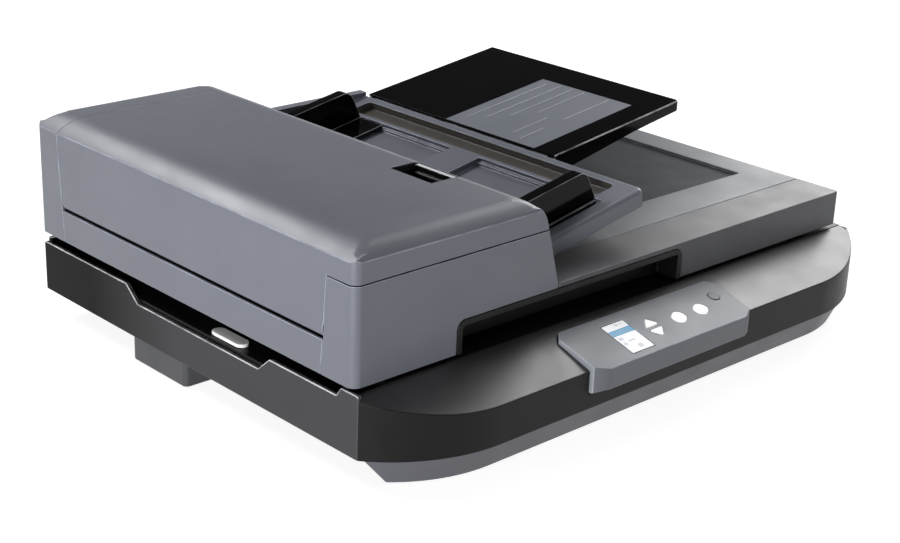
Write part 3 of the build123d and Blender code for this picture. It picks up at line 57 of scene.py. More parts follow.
# Places are in metres. Those that are typed in millimetres are taken from the lid's front left
# foot corner.
MM = 0.001
LID_CORNER = Vector((-255.5, -155.0, 66.4))

# The face attribute that says how strongly an edge shows wear and a painted highlight
EDGE = "edge_wear_and_highlight"


def at(x, y, z):
    """A point given in millimetres from the lid's corner, in metres."""
    return (Vector((x, y, z)) + LID_CORNER) * MM


# ---------- Finishes ----------

# The colour sockets of a Mix node
MIX_FIRST, MIX_SECOND, MIX_RESULT = 6, 7, 2


class Finish:
    """A material whose nodes are added one call at a time."""

    def __init__(self, name):
        self.material = bpy.data.materials.new(name)
        self.material.use_nodes = True
        self.tree = self.material.node_tree
        self.shader = self.tree.nodes["Principled BSDF"]
        self.place = self.add("ShaderNodeTexCoord").outputs["Object"]

    def add(self, kind, **settings):
        """A new node of that kind."""
        node = self.tree.nodes.new(kind)
        for key, value in settings.items():
            setattr(node, key, value)
        return node

    def link(self, output, socket):
        self.tree.links.new(output, socket)

    def set(self, **values):
        """Sets values on the shader's own sockets, with _ for the spaces in their names."""
        for key, value in values.items():
            self.shader.inputs[key.replace("_", " ")].default_value = value

    def stretched(self, stretch):
        """The place, stretched along the axes, for drawn and wiped surfaces."""
        mapping = self.add("ShaderNodeMapping")
        mapping.inputs["Scale"].default_value = stretch
        self.link(self.place, mapping.inputs["Vector"])
        return mapping.outputs["Vector"]

    def noise(self, scale, detail=3.0, place=None):
        """A soft random pattern, with about scale blotches in a metre."""
        node = self.add("ShaderNodeTexNoise")
        node.inputs["Scale"].default_value = scale
        node.inputs["Detail"].default_value = detail
        self.link(place or self.place, node.inputs["Vector"])
        return node.outputs["Fac"]

    def between(self, factor, low, high, low_at=0.3, high_at=0.7):
        """A number that goes from low to high as factor goes from low_at to high_at."""
        node = self.add("ShaderNodeMapRange")
        node.inputs["From Min"].default_value = low_at
        node.inputs["From Max"].default_value = high_at
        node.inputs["To Min"].default_value = low
        node.inputs["To Max"].default_value = high
        self.link(factor, node.inputs["Value"])
        return node.outputs["Result"]

    def mix(self, factor, first, second):
        """A colour between two colours, each a socket or four numbers."""
        node = self.add("ShaderNodeMix", data_type="RGBA")
        self.link(factor, node.inputs["Factor"])
        for number, value in ((MIX_FIRST, first), (MIX_SECOND, second)):
            if isinstance(value, bpy.types.NodeSocket):
                self.link(value, node.inputs[number])
            else:
                node.inputs[number].default_value = value
        return node.outputs[MIX_RESULT]

    def times(self, first, second):
        node = self.add("ShaderNodeMath", operation="MULTIPLY")
        self.link(first, node.inputs[0])
        self.link(second, node.inputs[1])
        return node.outputs[0]

    def edge_wear_and_sheen(self):
        """How much a point is on an edge with wear and a painted highlight, patchy along the
        edge.
        """
        edge = self.add("ShaderNodeAttribute", attribute_name=EDGE)
        patches = self.between(self.noise(60.0), 0.35, 1.0, low_at=0.35, high_at=0.6)
        return self.times(edge.outputs["Fac"], patches)

    def colour(self, socket):
        self.link(socket, self.shader.inputs["Base Color"])

    def roughness(self, socket):
        self.link(socket, self.shader.inputs["Roughness"])

    def bump(self, height, depth, strength):
        """Gives the surface a relief of that depth in metres."""
        node = self.add("ShaderNodeBump")
        node.inputs["Strength"].default_value = strength
        node.inputs["Distance"].default_value = depth
        self.link(height, node.inputs["Height"])
        self.link(node.outputs["Normal"], self.shader.inputs["Normal"])


def linear(part):
    """A part of a screen colour, from 0 to 1, as the light it stands for."""
    return part / 12.92 if part <= 0.04045 else ((part + 0.055) / 1.055) ** 2.4


def shade(hexcode, change=1.0):
    """A screen colour as the four linear numbers that a shader takes."""
    parts = [linear(int(hexcode[i : i + 2], 16) / 255) for i in (0, 2, 4)]
    return (*[min(1.0, part * change) for part in parts], 1.0)


# How fine the moulded plastics' grain and cloudiness are
GRAIN_SCALE = 1500.0
CLOUD_SCALE = 35.0
CLOUD_SPREAD = 0.05


def moulded(name, tone, roughness, sheen_tone=1.35, shine=0.5, grain=0.00004):
    """Satin moulded plastic: fine spark-erosion grain, faint flow mottling, and edges marked for
    wear and a painted highlight.

    The marked edges are sheen_tone times as bright as the rest, and grain is in metres.
    """
    finish = Finish(name)
    finish.set(Specular_IOR_Level=shine)
    mottle = finish.noise(11.0, detail=4.0)
    body = finish.mix(mottle, shade(tone, 0.93), shade(tone, 1.07))
    finish.colour(finish.mix(finish.edge_wear_and_sheen(), body, shade(tone, sheen_tone)))
    cloud = finish.noise(CLOUD_SCALE, detail=5.0)
    finish.roughness(finish.between(cloud, roughness - CLOUD_SPREAD, roughness + CLOUD_SPREAD))
    finish.bump(finish.noise(GRAIN_SCALE, detail=2.0), grain, strength=0.5)
    return finish.material


def rear_shaded(name, rear_shade_tone, front_lit_tone, rear_roughness, front_roughness):
    """Satin black plastic with painted shade: a deeper black at the rear, smoother there too,
    and edges brightened for wear and a painted highlight.
    """
    shade_full_at, light_full_at = 0.14, 0.03
    finish = Finish(name)
    finish.set(Specular_IOR_Level=0.05)
    parts = finish.add("ShaderNodeSeparateXYZ")
    finish.link(finish.place, parts.inputs["Vector"])
    # How far towards the front a point is: the painted shade lifts and the surface gets rougher
    # towards the front
    nearness = finish.between(parts.outputs["Y"], 0.0, 1.0, shade_full_at, light_full_at)
    body = finish.mix(nearness, shade(rear_shade_tone), shade(front_lit_tone))
    finish.colour(finish.mix(finish.edge_wear_and_sheen(), body, shade("c8cacd")))
    patches = finish.between(finish.noise(CLOUD_SCALE, detail=5.0), 0.9, 1.1)
    roughness = finish.between(nearness, rear_roughness, front_roughness, 0.0, 1.0)
    finish.roughness(finish.times(patches, roughness))
    finish.bump(finish.noise(GRAIN_SCALE, detail=2.0), 0.00002, strength=0.5)
    return finish.material


def glossy(name, tone, edge_tone, roughness=0.10):
    """High gloss moulded plastic with faint wipe marks, and edges in edge_tone for wear and a
    painted highlight.
    """
    finish = Finish(name)
    finish.set(Specular_IOR_Level=0.10)
    haze = finish.noise(18.0, detail=5.0)
    body = finish.mix(haze, shade(tone, 0.9), shade(tone, 1.15))
    finish.colour(finish.mix(finish.edge_wear_and_sheen(), body, shade(edge_tone)))
    wiped = finish.noise(26.0, detail=6.0, place=finish.stretched((1.0, 6.0, 2.0)))
    finish.roughness(finish.between(wiped, roughness * 0.75, roughness * 1.5))
    finish.bump(finish.noise(7.0, detail=2.0), 0.0002, strength=0.15)
    return finish.material


def metal(name, tone, roughness):
    """Bare metal with fine drawn or turned lines."""
    finish = Finish(name)
    finish.set(Metallic=1.0)
    lines = finish.noise(420.0, detail=4.0, place=finish.stretched((1.0, 1.0, 14.0)))
    finish.colour(finish.mix(finish.noise(30.0), shade(tone, 0.85), shade(tone, 1.1)))
    finish.roughness(finish.between(lines, roughness - 0.08, roughness + 0.12))
    finish.bump(lines, 0.00002, strength=0.4)
    return finish.material


def rubber(name, tone):
    """Soft matt rubber with a ground surface and a little paper dust."""
    finish = Finish(name)
    dust = finish.between(finish.noise(90.0, detail=6.0), 0.0, 0.35, low_at=0.5, high_at=0.75)
    finish.colour(finish.mix(dust, shade(tone), shade("8a8a88")))
    finish.roughness(finish.between(finish.noise(300.0), 0.72, 0.92))
    finish.bump(finish.noise(1400.0), 0.00008, strength=0.7)
    return finish.material


def glass(name):
    """Clear float glass with the faintest smears."""
    finish = Finish(name)
    finish.set(Transmission_Weight=1.0, IOR=1.5)
    finish.colour(finish.mix(finish.noise(5.0), shade("eef4f2"), shade("f6faf9")))
    smears = finish.noise(14.0, detail=6.0)
    finish.roughness(finish.between(smears, 0.005, 0.05, low_at=0.45, high_at=0.8))
    return finish.material


def board(name):
    """Green solder mask with the tracks showing through as a low relief."""
    finish = Finish(name)
    tracks = finish.add("ShaderNodeTexBrick")
    tracks.inputs["Scale"].default_value = 260.0
    tracks.inputs["Mortar Size"].default_value = 0.03
    finish.link(finish.place, tracks.inputs["Vector"])
    finish.colour(finish.mix(tracks.outputs["Fac"], shade("11502f"), shade("2c7a4c")))
    finish.roughness(finish.between(finish.noise(60.0), 0.3, 0.5))
    finish.bump(tracks.outputs["Fac"], 0.00005, strength=0.6)
    return finish.material


def glowing_panel(name, tone, glow):
    """A part that glows: flat colour under a matt film. The display is lit from behind; the
    keys' glow is painted light.
    """
    finish = Finish(name)
    grid = finish.noise(900.0, detail=1.0)
    finish.colour(finish.mix(grid, shade(tone, 0.97), shade(tone, 1.03)))
    finish.roughness(finish.between(finish.noise(40.0), 0.25, 0.4))
    finish.set(Emission_Color=shade(tone), Emission_Strength=glow)
    return finish.material


# Where sheen_tone is above one, the marked edges are a painted highlight along with wear; below
# one they are darker than the rest. The glossy blacks' edge tones are painted highlight too.
shell_grey = moulded("shell grey satin", "666973", 0.40, sheen_tone=2.4, shine=0.6)
tray_grey = moulded("tray grey satin", "6c6f79", 0.40, sheen_tone=3.2)
lid_grey = moulded("lid grey satin", "5b5f64", 0.40, sheen_tone=2.6)
strip_grey = moulded("front strip grey", "404145", 0.42, sheen_tone=2.4)
# The output area's floor is darkened as painted shadow of the tray above it
output_shadow_grey = moulded("output area grey with painted shadow", "2b2f34", 0.5, sheen_tone=1.0, shine=0.1)
base_grey = moulded("base grey satin", "57585f", 0.42, sheen_tone=1.8)
panel_grey = moulded("panel grey satin", "8d9198", 0.40, sheen_tone=1.6)
# The panel's front is a darker copy of its top grey: painted shade
panel_front_shade = moulded("panel front grey with painted shade", "696c73", 0.42)
foot_grey = moulded("foot block grey", "3a3b3f", 0.45)
fascia_slope = moulded(
    "fascia slope satin", "272728", 0.34, sheen_tone=0.6, shine=1.15, grain=0.00006
)
fascia_face = moulded(
    "fascia face black", "0a0a0b", 0.42, sheen_tone=0.6, shine=0.2, grain=0.00002
)
# The side panels are painted darker towards the rear as shade, with painted highlight on their
# edges
side_black = rear_shaded("side panel black with painted rear shade", "080809", "444446", 0.14, 0.42)
gloss_black = glossy("gloss black", "09090a", "8e9094")
leaf_black = glossy("leaf gloss black", "060607", "c4c6c9")
deck_black = moulded("deck black", "0c0c0d", 0.38, sheen_tone=2.2, shine=0.2)
grip_black = moulded("grip black", "070708", 0.36, sheen_tone=3.2, shine=0.2)
# Dark inside plastic, also painted into the seams and the latch's well as shade
dark_inside_and_seam_shade = moulded("dark inside plastic with painted seam shade", "1a1b1d", 0.5, sheen_tone=1.2, shine=0.3)
frame_grey = moulded("frame plastic", "3c3d41", 0.5)
white_plastic = moulded("white plastic", "fbfbfa", 0.38, sheen_tone=1.0)
key_grey = moulded("key dark grey", "74767c", 0.42)
latch_silver = moulded("latch silver", "d9dade", 0.28, sheen_tone=1.0)
inlay_grey = moulded("inlay grey", "70747d", 0.45)
rib_light = moulded("inlay rib", "c4c7cc", 0.35)
channel_grey = moulded("channel grey", "55524e", 0.34, sheen_tone=0.95, shine=0.6)
steel = metal("turned steel", "b9bcc0", 0.28)
motor_can = metal("motor can", "8d9094", 0.35)
rubber_grey = rubber("roller rubber", "3a3b3d")
foot_rubber = rubber("foot rubber", "242425")
clear_glass = glass("clear glass")
sensor_black = moulded("sensor black", "17171a", 0.35)
board_green = board("board green")
screen_white = glowing_panel("screen white", "f2f4f7", 0.35)
screen_blue = glowing_panel("screen blue", "2f9fd0", 0.14)
# The keys glow as painted light; unlike the display, they are not lit from behind
glowing_key_white = glowing_panel("key white with painted glow", "f8f8f6", 0.45)
screen_mark = glowing_panel("screen mark", "cdd1d8", 0.2)

# ---------- Tools for pieces made from the CAD nodes ----------

# How the meshes are cleaned: points this near are one, and folds this slight are flat
SAME_PLACE = 0.000001
FLAT_FOLD = math.radians(0.6)

# Folds that are rounded off, and folds that are shaded as an edge
SHARP_FOLD = math.radians(32)
SHADED_FOLD = math.radians(40)

EDGE_SEGMENTS = 2
CORNER_SEGMENTS = 5

# Limits of the z of a face's normal: above the first it looks up, below the second down
LOOKS_UP = 0.9
LOOKS_DOWN = -0.5


def node_mesh(node):
    """The mesh of a CAD node to be worked on, with its loose triangles joined."""
    bm = bmesh.new()
    bm.from_mesh(nodes[node].data)
    bmesh.ops.remove_doubles(bm, verts=bm.verts, dist=SAME_PLACE)
    bmesh.ops.dissolve_limit(bm, angle_limit=FLAT_FOLD, verts=bm.verts, edges=bm.edges)
    return bm


def bevel(bm, edges, width, segments):
    """Rounds the edges, and gives back what it makes."""
    return bmesh.ops.bevel(
        bm,
        geom=edges,
        offset=width,
        offset_type="OFFSET",
        segments=segments,
        profile=0.5,
        affect="EDGES",
        clamp_overlap=False,
        material=-1,
    )


def inside(point, box):
    """Whether a point is in a box given by its lowest and highest corners."""
    return all(low <= part <= high for part, low, high in zip(point, *box))


def round_edges(bm, width, spared=None, wear_and_highlight_below=0.3, below=-0.2):
    """Rounds the sharp edges outside the spared box and marks the new faces for wear and a
    painted highlight.

    Faces whose normal has a lower z than below get only the given smaller share of the mark, the
    others all of it, since edges that face down catch less painted highlight.
    """
    mark = bm.faces.layers.float.new(EDGE)
    sharp = [
        edge
        for edge in bm.edges
        if edge.is_manifold
        and edge.calc_face_angle() > SHARP_FOLD
        and not (spared and all(inside(end.co, spared) for end in edge.verts))
    ]
    made = bevel(bm, sharp, width, EDGE_SEGMENTS)
    bm.normal_update()
    for face in made["faces"]:
        face[mark] = wear_and_highlight_below if face.normal.z < below else 1.0


def soften_upright(bm, corner, width=0.003):
    """Rounds the upright edge at a corner seen from above."""
    at_corner, upright = 0.0005, 0.8
    chosen = []
    for edge in bm.edges:
        run = edge.verts[1].co - edge.verts[0].co
        near = all((end.co.xy - corner).length < at_corner for end in edge.verts)
        if near and edge.is_manifold and abs(run.z) > upright * run.length:
            chosen.append(edge)
    bevel(bm, chosen, width, CORNER_SEGMENTS)


def right_corner(node, end):
    """A node's right front or right rear corner, seen from above."""
    low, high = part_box(node)
    return Vector((high[0], high[1] if end == "rear" else low[1]))


def paint_second(bm, chosen):
    """Gives the faces that pass the test the second of the piece's materials."""
    for face in bm.faces:
        if chosen(face):
            face.material_index = 1


def finished(name, bm, materials, node, replaces=True):
    """Turns a bmesh into a piece that stands in a CAD node's place, or rides along with it."""
    mesh = bpy.data.meshes.new(name)
    bm.to_mesh(mesh)
    bm.free()
    mesh.shade_smooth()
    mesh.set_sharp_from_angle(angle=SHADED_FOLD)
    for material in materials:
        mesh.materials.append(material)
    piece = bpy.data.objects.new(name, mesh)
    scene.collection.objects.link(piece)
    levelled = piece.modifiers.new("flat faces stay flat", "WEIGHTED_NORMAL")
    levelled.keep_sharp = True
    if replaces:
        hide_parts(node)
    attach(piece, BODY_OF[node])


def rounded_node(node, name, material, slot, width, **wear_and_highlight):
    """Stands a copy of a CAD node in the node's place, its edges rounded and marked for wear and
    a painted highlight.
    """
    bm = node_mesh(node)
    round_edges(bm, width, **wear_and_highlight)
    finished(name, bm, [material], node)


# ---------- Feeder ----------

# Heights over the lid's foot, in millimetres
FEEDER_WALL_TOP = 84.6
FEEDER_SEAM = 60
FEEDER_FOOT = 1
LATCH_SILVER_FROM = 88

# The latch's well in the hatch, painted dark as shade, and a step at the hatch's hinge too low
# to be rounded
LATCH_WELL = (at(122.9, 67.9, 78), at(150.1, 109.1, 90.4))
BARREL_STEP = (at(-1, 0, 28.5), at(1, 400, 29.5))


def soften_roll(bm, width=0.004):
    """Rounds the slanting edges where two rolled sides of the feeder meet."""
    wall_top = at(0, 0, FEEDER_WALL_TOP).z
    shortest, least_fold = 0.0005, math.radians(4)
    slanting = []
    for edge in bm.edges:
        run = edge.verts[1].co - edge.verts[0].co
        low_end = min(end.co.z for end in edge.verts)
        if not edge.is_manifold or run.length < shortest or low_end < wall_top:
            continue
        across, along, rise = (abs(part) / run.length for part in run)
        slants = min(across, along) > 0.3 and rise > 0.05
        faces_up = all(face.normal.z > 0.3 for face in edge.link_faces)
        if slants and faces_up and edge.calc_face_angle() > least_fold:
            slanting.append(edge)
    bevel(bm, slanting, width, CORNER_SEGMENTS)


def dress_feeder():
    """Hatch, cap and cheek: soft outer corners; dark plastic inside, also painted into the seams
    and the latch's well as shade.
    """
    foot = at(0, 0, FEEDER_FOOT).z
    seam = at(0, 0, FEEDER_SEAM).z

    def is_ceiling(face):
        return face.normal.z < LOOKS_DOWN and face.calc_center_median().z > foot

    def is_seam_floor(face):
        return face.normal.z > LOOKS_UP and face.calc_center_median().z > seam

    def is_latch_well(face):
        return inside(face.calc_center_median(), LATCH_WELL)

    for node, is_seam_shade_too, spared in (
        ("hatch", is_latch_well, BARREL_STEP),
        ("rear_cap", None, None),
        ("front_cheek", is_seam_floor, None),
    ):
        bm = node_mesh(node)
        paint_second(bm, is_ceiling)
        if is_seam_shade_too:
            paint_second(bm, is_seam_shade_too)
        soften_roll(bm)
        round_edges(bm, 0.0005, spared=spared)
        finished(f"{node}_shell", bm, [shell_grey, dark_inside_and_seam_shade], node)


def dress_latch():
    """Latch: silver top; its sides and its part low in the well painted black as shade."""
    bm = node_mesh("hatch_latch")
    silver_from = at(0, 0, LATCH_SILVER_FROM).z

    # Faces that face sideways or down, or lie low in the well, are painted black as shade
    def is_in_well_shade(face):
        return face.normal.z < 0.5 or face.calc_center_median().z < silver_from

    paint_second(bm, is_in_well_shade)
    round_edges(bm, 0.0003)
    finished("latch_paddle", bm, [latch_silver, deck_black], "hatch_latch")


# ---------- Tray and extension ----------

# The tray's top: its slope, and where it ends on the right
TRAY_SLOPE = math.atan(0.19)
TRAY_END = (292.0, 65.0)

# Where the channel's faces are: how far before the tray's end, and how far over its top
CHANNEL_RUN = (8.6, 29.1)
CHANNEL_RISE = (-6.1, -0.2)


def on_tray(point):
    """How far a point is before the tray's right end, down its slope, and over its top face."""
    place = point / MM - LID_CORNER
    before, over = TRAY_END[0] - place.x, place.z - TRAY_END[1]
    cos, sin = math.cos(TRAY_SLOPE), math.sin(TRAY_SLOPE)
    return before * cos - over * sin, over * cos + before * sin


def dress_tray():
    """Input tray: ledges brightened for wear and a painted highlight, and a darker polished
    channel along its end.
    """
    bm = node_mesh("input_tray")

    def in_channel(face):
        run, rise = on_tray(face.calc_center_median())
        return CHANNEL_RUN[0] < run < CHANNEL_RUN[1] and CHANNEL_RISE[0] < rise < CHANNEL_RISE[1]

    paint_second(bm, in_channel)
    round_edges(bm, 0.0004)
    finished("input_tray_shell", bm, [tray_grey, channel_grey], "input_tray")


def dress_extension():
    """Extension leaf: gloss black, its edges rounded except at the hinge and round the inlay,
    its rounded top edges brightened as a painted highlight.
    """
    bm = node_mesh("tray_extension")
    low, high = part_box("tray_extension")
    past_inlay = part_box("extension_inlay")[1][0] + 0.002
    spared = (low, (past_inlay, high[1], high[2]))
    round_edges(bm, 0.0008, spared=spared, wear_and_highlight_below=0.1, below=0.2)
    mark = bm.faces.layers.float[EDGE]
    # The sloping faces of the rounded top edges get the full edge mark: a painted highlight
    steepest, flattest = 0.3, 0.93
    for face in bm.faces:
        if steepest < face.normal.z < flattest:
            face[mark] = 1.0
    finished("extension_leaf", bm, [leaf_black], "tray_extension")


# ---------- Lid, panel and fascia ----------

# The heights between which the output area's floor lies
OUTPUT_FLOOR = (24, 26.5)


def dress_lid():
    """Lid cover with painted shadow of the tray darkening its sunken output area."""
    bm = node_mesh("lid_cover")
    lowest, highest = (at(0, 0, height).z for height in OUTPUT_FLOOR)

    def is_output_floor(face):
        return face.normal.z > LOOKS_UP and lowest < face.calc_center_median().z < highest

    paint_second(bm, is_output_floor)
    soften_upright(bm, right_corner("lid_cover", "rear"))
    round_edges(bm, 0.0006)
    finished("lid_cover_shell", bm, [lid_grey, output_shadow_grey], "lid_cover")


def dress_front_strip():
    """Front strip of the lid, its right front corner soft."""
    bm = node_mesh("front_strip")
    soften_upright(bm, right_corner("front_strip", "front"))
    round_edges(bm, 0.0006)
    finished("front_strip_shell", bm, [strip_grey], "front_strip")


def dress_panel():
    """Control panel housing, its front painted a darker grey as shade."""
    looks_forward = -0.6
    bm = node_mesh("panel_housing")
    paint_second(bm, lambda face: face.normal.y < looks_forward)
    round_edges(bm, 0.0008)
    finished("panel_housing_shell", bm, [panel_grey, panel_front_shade], "panel_housing")


def dress_fascia():
    """Fascia: grained sloping top, smoother black face below it."""
    looks_sideways = 0.5
    bm = node_mesh("front_fascia")
    paint_second(bm, lambda face: abs(face.normal.z) < looks_sideways)
    round_edges(bm, 0.0007)
    finished("fascia_shell", bm, [fascia_slope, fascia_face], "front_fascia")


def dress_plain_nodes():
    """The outer nodes that need only a finish and rounded edges."""
    rounded_node("lower_strip", "lower_strip_shell", shell_grey, "shell_grey", 0.0005)
    rounded_node("front_skirt", "skirt_shell", base_grey, "base_grey", 0.0008)
    rounded_node("rear_feet", "rear_foot_blocks", foot_grey, "base_grey", 0.0010)
    # The side panels' edges keep most of their mark only where they face up: a painted highlight
    # along the top rim, with wear
    wear_and_highlight_on_top = {"wear_and_highlight_below": 0.08, "below": 0.2}
    for side in ("left", "right", "rear"):
        name = f"{side}_side_panel"
        rounded_node(f"{side}_panel", name, side_black, "gloss_black", 0.0007, **wear_and_highlight_on_top)
    for end in ("front", "rear"):
        rounded_node(f"{end}_guide", f"{end}_guide_shell", gloss_black, "gloss_black", 0.0005)
    rounded_node("grip_bezel", "grip_bezel_shell", grip_black, "gloss_black", 0.0005)
    rounded_node("extension_inlay", "inlay_plate", inlay_grey, "inlay_grey", 0.0002)
    rounded_node("carriage_lock", "lock_slider", white_plastic, "white_plastic", 0.0004)
    for key, width in (("confirm", 0.0003), ("back", 0.0003), ("up", 0.0002), ("down", 0.0002)):
        rounded_node(f"{key}_key", f"{key}_cap", glowing_key_white, "white_plastic", width)
    rounded_node("power_key", "power_cap", key_grey, "key_dark", 0.0003)


dress_feeder()
dress_lid()
dress_tray()
dress_front_strip()
dress_panel()
dress_fascia()
dress_latch()
dress_extension()
dress_plain_nodes()

# ---------- The display's picture and the inlay's ribs ----------

# The panel's sloping face: its fall over its depth, and its rear edge in y and z
PANEL_TILT = math.atan(12.3 / 45.0)
PANEL_REAR = (-9.0, -3.7)

# Left, right, top and bottom of what the display shows, top and bottom down the slope
PAGE = (205.2, 226.8, 9.2, 40.3)
BAR = (205.2, 226.8, 15.6, 21.6)
MARKS = (
    (216.0, 219.6, 10.6, 12.6),
    (221.0, 222.6, 10.6, 12.6),
    (206.6, 210.8, 23.4, 26.8),
    (206.6, 209.8, 29.2, 32.2),
    (212.6, 219.0, 28.2, 29.8),
    (215.4, 219.8, 34.2, 37.8),
)

# The films' thickness, and the heights of the page and of what is on it over the panel's face
FILM_THICKNESS = 0.08
PAGE_HEIGHT = -0.28
PRINT_HEIGHT = -0.2


def slab(bm, middle, across, along, up):
    """A flat-sided slab about its middle, given by its three sides."""
    turn = Matrix((across, along, up)).transposed().to_4x4()
    bmesh.ops.create_cube(bm, size=1.0, matrix=Matrix.Translation(middle) @ turn)


def added(name, bm, material, node):
    """A new piece that rides along with a CAD node and has no edge wear or painted edge
    highlight.
    """
    bmesh.ops.recalc_face_normals(bm, faces=bm.faces)
    bm.faces.layers.float.new(EDGE)
    finished(name, bm, [material], node, replaces=False)


def on_panel(x, down, height):
    """A point over the panel's sloping face, measured down the slope from its rear edge."""
    cos, sin = math.cos(PANEL_TILT), math.sin(PANEL_TILT)
    y = PANEL_REAR[0] - down * cos - height * sin
    z = PANEL_REAR[1] - down * sin + height * cos
    return at(x, y, z)


def film(bm, left, right, top, bottom, height):
    """A thin rectangular film over the panel's face."""
    corner = on_panel(left, top, height)
    across = on_panel(right, top, height) - corner
    down = on_panel(left, bottom, height) - corner
    up = on_panel(left, top, height + FILM_THICKNESS) - corner
    slab(bm, corner + (across + down + up) / 2, across, down, up)


def show_picture():
    """What the display shows: a white page, a blue bar and a few pale marks."""
    for name, material, height, places in (
        ("display_page", screen_white, PAGE_HEIGHT, (PAGE,)),
        ("display_bar", screen_blue, PRINT_HEIGHT, (BAR,)),
        ("display_marks", screen_mark, PRINT_HEIGHT, MARKS),
    ):
        bm = bmesh.new()
        for place in places:
            film(bm, *place, height)
        added(name, bm, material, "panel_display")


# The extension's sloping top: a point of its hinge, the rise from there to the top, the slope
LEAF_AXIS = (301.0, 60.2)
LEAF_RISE = 5.35
LEAF_SLOPE = 0.14

# The ribs' distance from the front, and where they start and end on the left and right
RIB_RUNS = (
    (229.0, 309.0, 400.0),
    (216.0, 318.0, 404.0),
    (203.0, 332.0, 404.0),
    (190.0, 350.0, 404.0),
    (176.0, 309.0, 346.0),
    (163.0, 304.0, 330.0),
    (163.0, 352.0, 404.0),
)
RIB_SIDE = Vector((0, 0.0007, 0))
RIB_UP = Vector((0, 0, 0.0005))
LONG_EDGE = 0.01


def on_leaf(x, y):
    """A point on the extension's sloping top."""
    return at(x, y, LEAF_AXIS[1] + LEAF_RISE + (x - LEAF_AXIS[0]) * LEAF_SLOPE)


def lay_ribs():
    """Fine raised lines along the inlay, for the sheets to slide on."""
    bm = bmesh.new()
    for y, left, right in RIB_RUNS:
        start = on_leaf(left, y)
        run = on_leaf(right, y) - start
        slab(bm, start + run / 2, run, RIB_SIDE, RIB_UP)
    long_edges = [edge for edge in bm.edges if edge.calc_length() > LONG_EDGE]
    bevel(bm, long_edges, 0.00015, EDGE_SEGMENTS)
    added("inlay_ribs", bm, rib_light, "extension_inlay")


show_picture()
lay_ribs()

# ---------- CAD nodes that stay, with better finishes ----------

KEPT = (
    (deck_black, ("base_tub", "deck_frame", "lid_frame", "hinge_posts", "rear_sockets")),
    (frame_grey, ("feeder_chassis", "pick_arm", "guide_pinion")),
    (steel, ("guide_rod", "hinge_leaves", "case_screws", "exit_roller")),
    (motor_can, ("scan_motor", "feeder_motor", "motor_pulley")),
    (
        rubber_grey,
        ("feed_roller", "turn_roller", "pick_roller", "separation_roller", "scan_roller"),
    ),
    (foot_rubber, ("foot_pads", "lid_bumpers", "drive_belt", "feeder_belt")),
    (white_plastic, ("backing_pad", "drive_pulley", "idler_pulley")),
    (clear_glass, ("platen_glass", "feeder_glass")),
    (sensor_black, ("scan_carriage", "image_sensor", "panel_display")),
    (board_green, ("main_board", "panel_board")),
)
for kept_finish, kept_nodes in KEPT:
    for kept_node in kept_nodes:
        nodes[kept_node].data.materials.clear()
        nodes[kept_node].data.materials.append(kept_finish)

# ---------- Floor, light and camera ----------

FLOOR_SIZE = 12.0
FLOOR_DROP = 0.0004

# The floor's own white: less near the object, where its shadow has to show
NEAR_WHITE, NEAR = 0.86, 0.9
FAR_WHITE, FAR = 1.0, 2.4

# Each lamp's name, place, the point that it looks at, its width and height, and its watts
LAMPS = (
    ("overhead", (-0.3, 0.0, 1.7), (0, 0, 0), (1.2, 1.0), 0.8),
    ("left softbox", (-1.55, -0.7, 0.24), (0, 0, 0.05), (0.8, 0.4), 24.0),
    ("front softbox", (0.3, -1.9, 0.8), (0, 0, 0.05), (1.2, 0.7), 1.5),
    ("right softbox", (1.5, 0.4, 0.95), (0, 0, 0.08), (1.0, 1.4), 20.0),
    ("rear strip light", (-0.5, 1.15, 1.3), (0, 0, 0.1), (1.3, 0.45), 20.0),
    ("right strip light", (1.3, -0.5, 1.15), (0, 0, 0.1), (0.8, 0.25), 2.0),
)

# The light from all around, and how steeply upwards the white backdrop fades into it
ROOM_LIGHT = 0.07
BACKDROP_WHITE = 1.0
BACKDROP_FADES = (0.16, 0.24)

# The photograph's viewpoint
EYE = (-0.87441, -0.88315, 0.51688)
AZIMUTH = math.radians(-43.75)
ELEVATION = math.radians(21.19)
ROLL = math.radians(2.15)
LENS = 69.06
SENSOR_WIDTH = 36.0


def seen_backdrop(tree):
    """One for rays that see the white backdrop: from the camera, off gloss and through glass."""
    rays = tree.nodes.new("ShaderNodeLightPath")
    total = rays.outputs["Is Camera Ray"]
    for kind in ("Is Glossy Ray", "Is Transmission Ray"):
        either = tree.nodes.new("ShaderNodeMath")
        either.operation = "MAXIMUM"
        tree.links.new(total, either.inputs[0])
        tree.links.new(rays.outputs[kind], either.inputs[1])
        total = either.outputs[0]
    return total


def lay_floor():
    """A white floor that shows the object's soft shadow and nothing else."""
    bm = bmesh.new()
    bmesh.ops.create_grid(bm, x_segments=1, y_segments=1, size=FLOOR_SIZE)
    mesh = bpy.data.meshes.new("floor")
    bm.to_mesh(mesh)
    bm.free()
    floor = bpy.data.objects.new("floor", mesh)
    scene.collection.objects.link(floor)
    floor.location.z = -FLOOR_DROP
    finish = Finish("floor white")
    finish.set(Roughness=0.9, Specular_IOR_Level=0.0, Emission_Color=(1, 1, 1, 1))
    finish.colour(finish.mix(finish.noise(3.0), shade("a6a6a6"), shade("a8a8a8")))
    distance = finish.add("ShaderNodeVectorMath", operation="LENGTH")
    finish.link(finish.place, distance.inputs[0])
    white = finish.between(distance.outputs["Value"], NEAR_WHITE, FAR_WHITE, NEAR, FAR)
    glow = finish.times(seen_backdrop(finish.tree), white)
    finish.link(glow, finish.shader.inputs["Emission Strength"])
    mesh.materials.append(finish.material)


def lamp(name, place, aim, size, power):
    """A soft rectangular lamp that looks at a point."""
    data = bpy.data.lights.new(name, "AREA")
    data.shape = "RECTANGLE"
    data.size, data.size_y = size
    data.energy = power
    light = bpy.data.objects.new(name, data)
    light.location = place
    light.rotation_mode = "QUATERNION"
    light.rotation_quaternion = (Vector(aim) - Vector(place)).to_track_quat("-Z", "Y")
    scene.collection.objects.link(light)


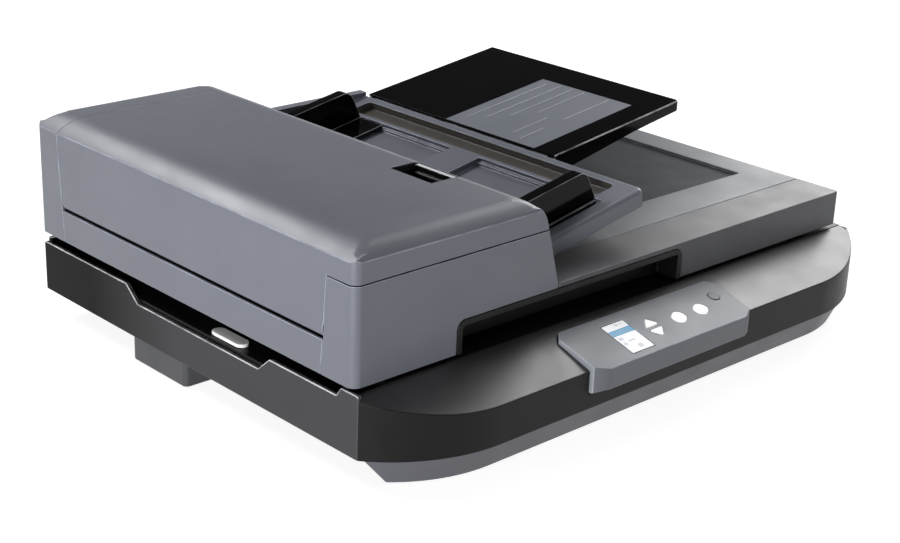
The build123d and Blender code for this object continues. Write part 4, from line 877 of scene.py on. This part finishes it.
def light_world():
    """A dim even light, and a white backdrop at the height of the horizon and below."""
    world = bpy.data.worlds.new("white studio")
    world.use_nodes = True
    scene.world = world
    tree = world.node_tree
    background = tree.nodes["Background"]
    background.inputs["Color"].default_value = (1, 1, 1, 1)
    direction = tree.nodes.new("ShaderNodeTexCoord")
    parts = tree.nodes.new("ShaderNodeSeparateXYZ")
    tree.links.new(direction.outputs["Generated"], parts.inputs["Vector"])
    low = tree.nodes.new("ShaderNodeMapRange")
    low.inputs["From Min"].default_value, low.inputs["From Max"].default_value = BACKDROP_FADES
    low.inputs["To Min"].default_value = 1.0
    low.inputs["To Max"].default_value = 0.0
    tree.links.new(parts.outputs["Z"], low.inputs["Value"])
    seen = tree.nodes.new("ShaderNodeMath")
    seen.operation = "MULTIPLY"
    tree.links.new(seen_backdrop(tree), seen.inputs[0])
    tree.links.new(low.outputs["Result"], seen.inputs[1])
    level = tree.nodes.new("ShaderNodeMapRange")
    level.inputs["To Min"].default_value = ROOM_LIGHT
    level.inputs["To Max"].default_value = BACKDROP_WHITE
    tree.links.new(seen.outputs[0], level.inputs["Value"])
    tree.links.new(level.outputs["Result"], background.inputs["Strength"])


def place_camera():
    """The camera at the photograph's viewpoint."""
    back = Vector(
        (
            math.sin(AZIMUTH) * math.cos(ELEVATION),
            -math.cos(AZIMUTH) * math.cos(ELEVATION),
            math.sin(ELEVATION),
        )
    )
    level_right = (-back).cross(Vector((0, 0, 1))).normalized()
    level_up = level_right.cross(-back)
    right = math.cos(ROLL) * level_right + math.sin(ROLL) * level_up
    up = -math.sin(ROLL) * level_right + math.cos(ROLL) * level_up
    data = bpy.data.cameras.new("camera")
    data.lens = LENS
    data.sensor_width = SENSOR_WIDTH
    data.sensor_fit = "HORIZONTAL"
    camera = bpy.data.objects.new("camera", data)
    turn = Matrix((right, up, back)).transposed().to_4x4()
    camera.matrix_world = Matrix.Translation(EYE) @ turn
    scene.collection.objects.link(camera)
    scene.camera = camera


lay_floor()
for each_lamp in LAMPS:
    lamp(*each_lamp)
light_world()
place_camera()
scene.view_settings.view_transform = "Standard"
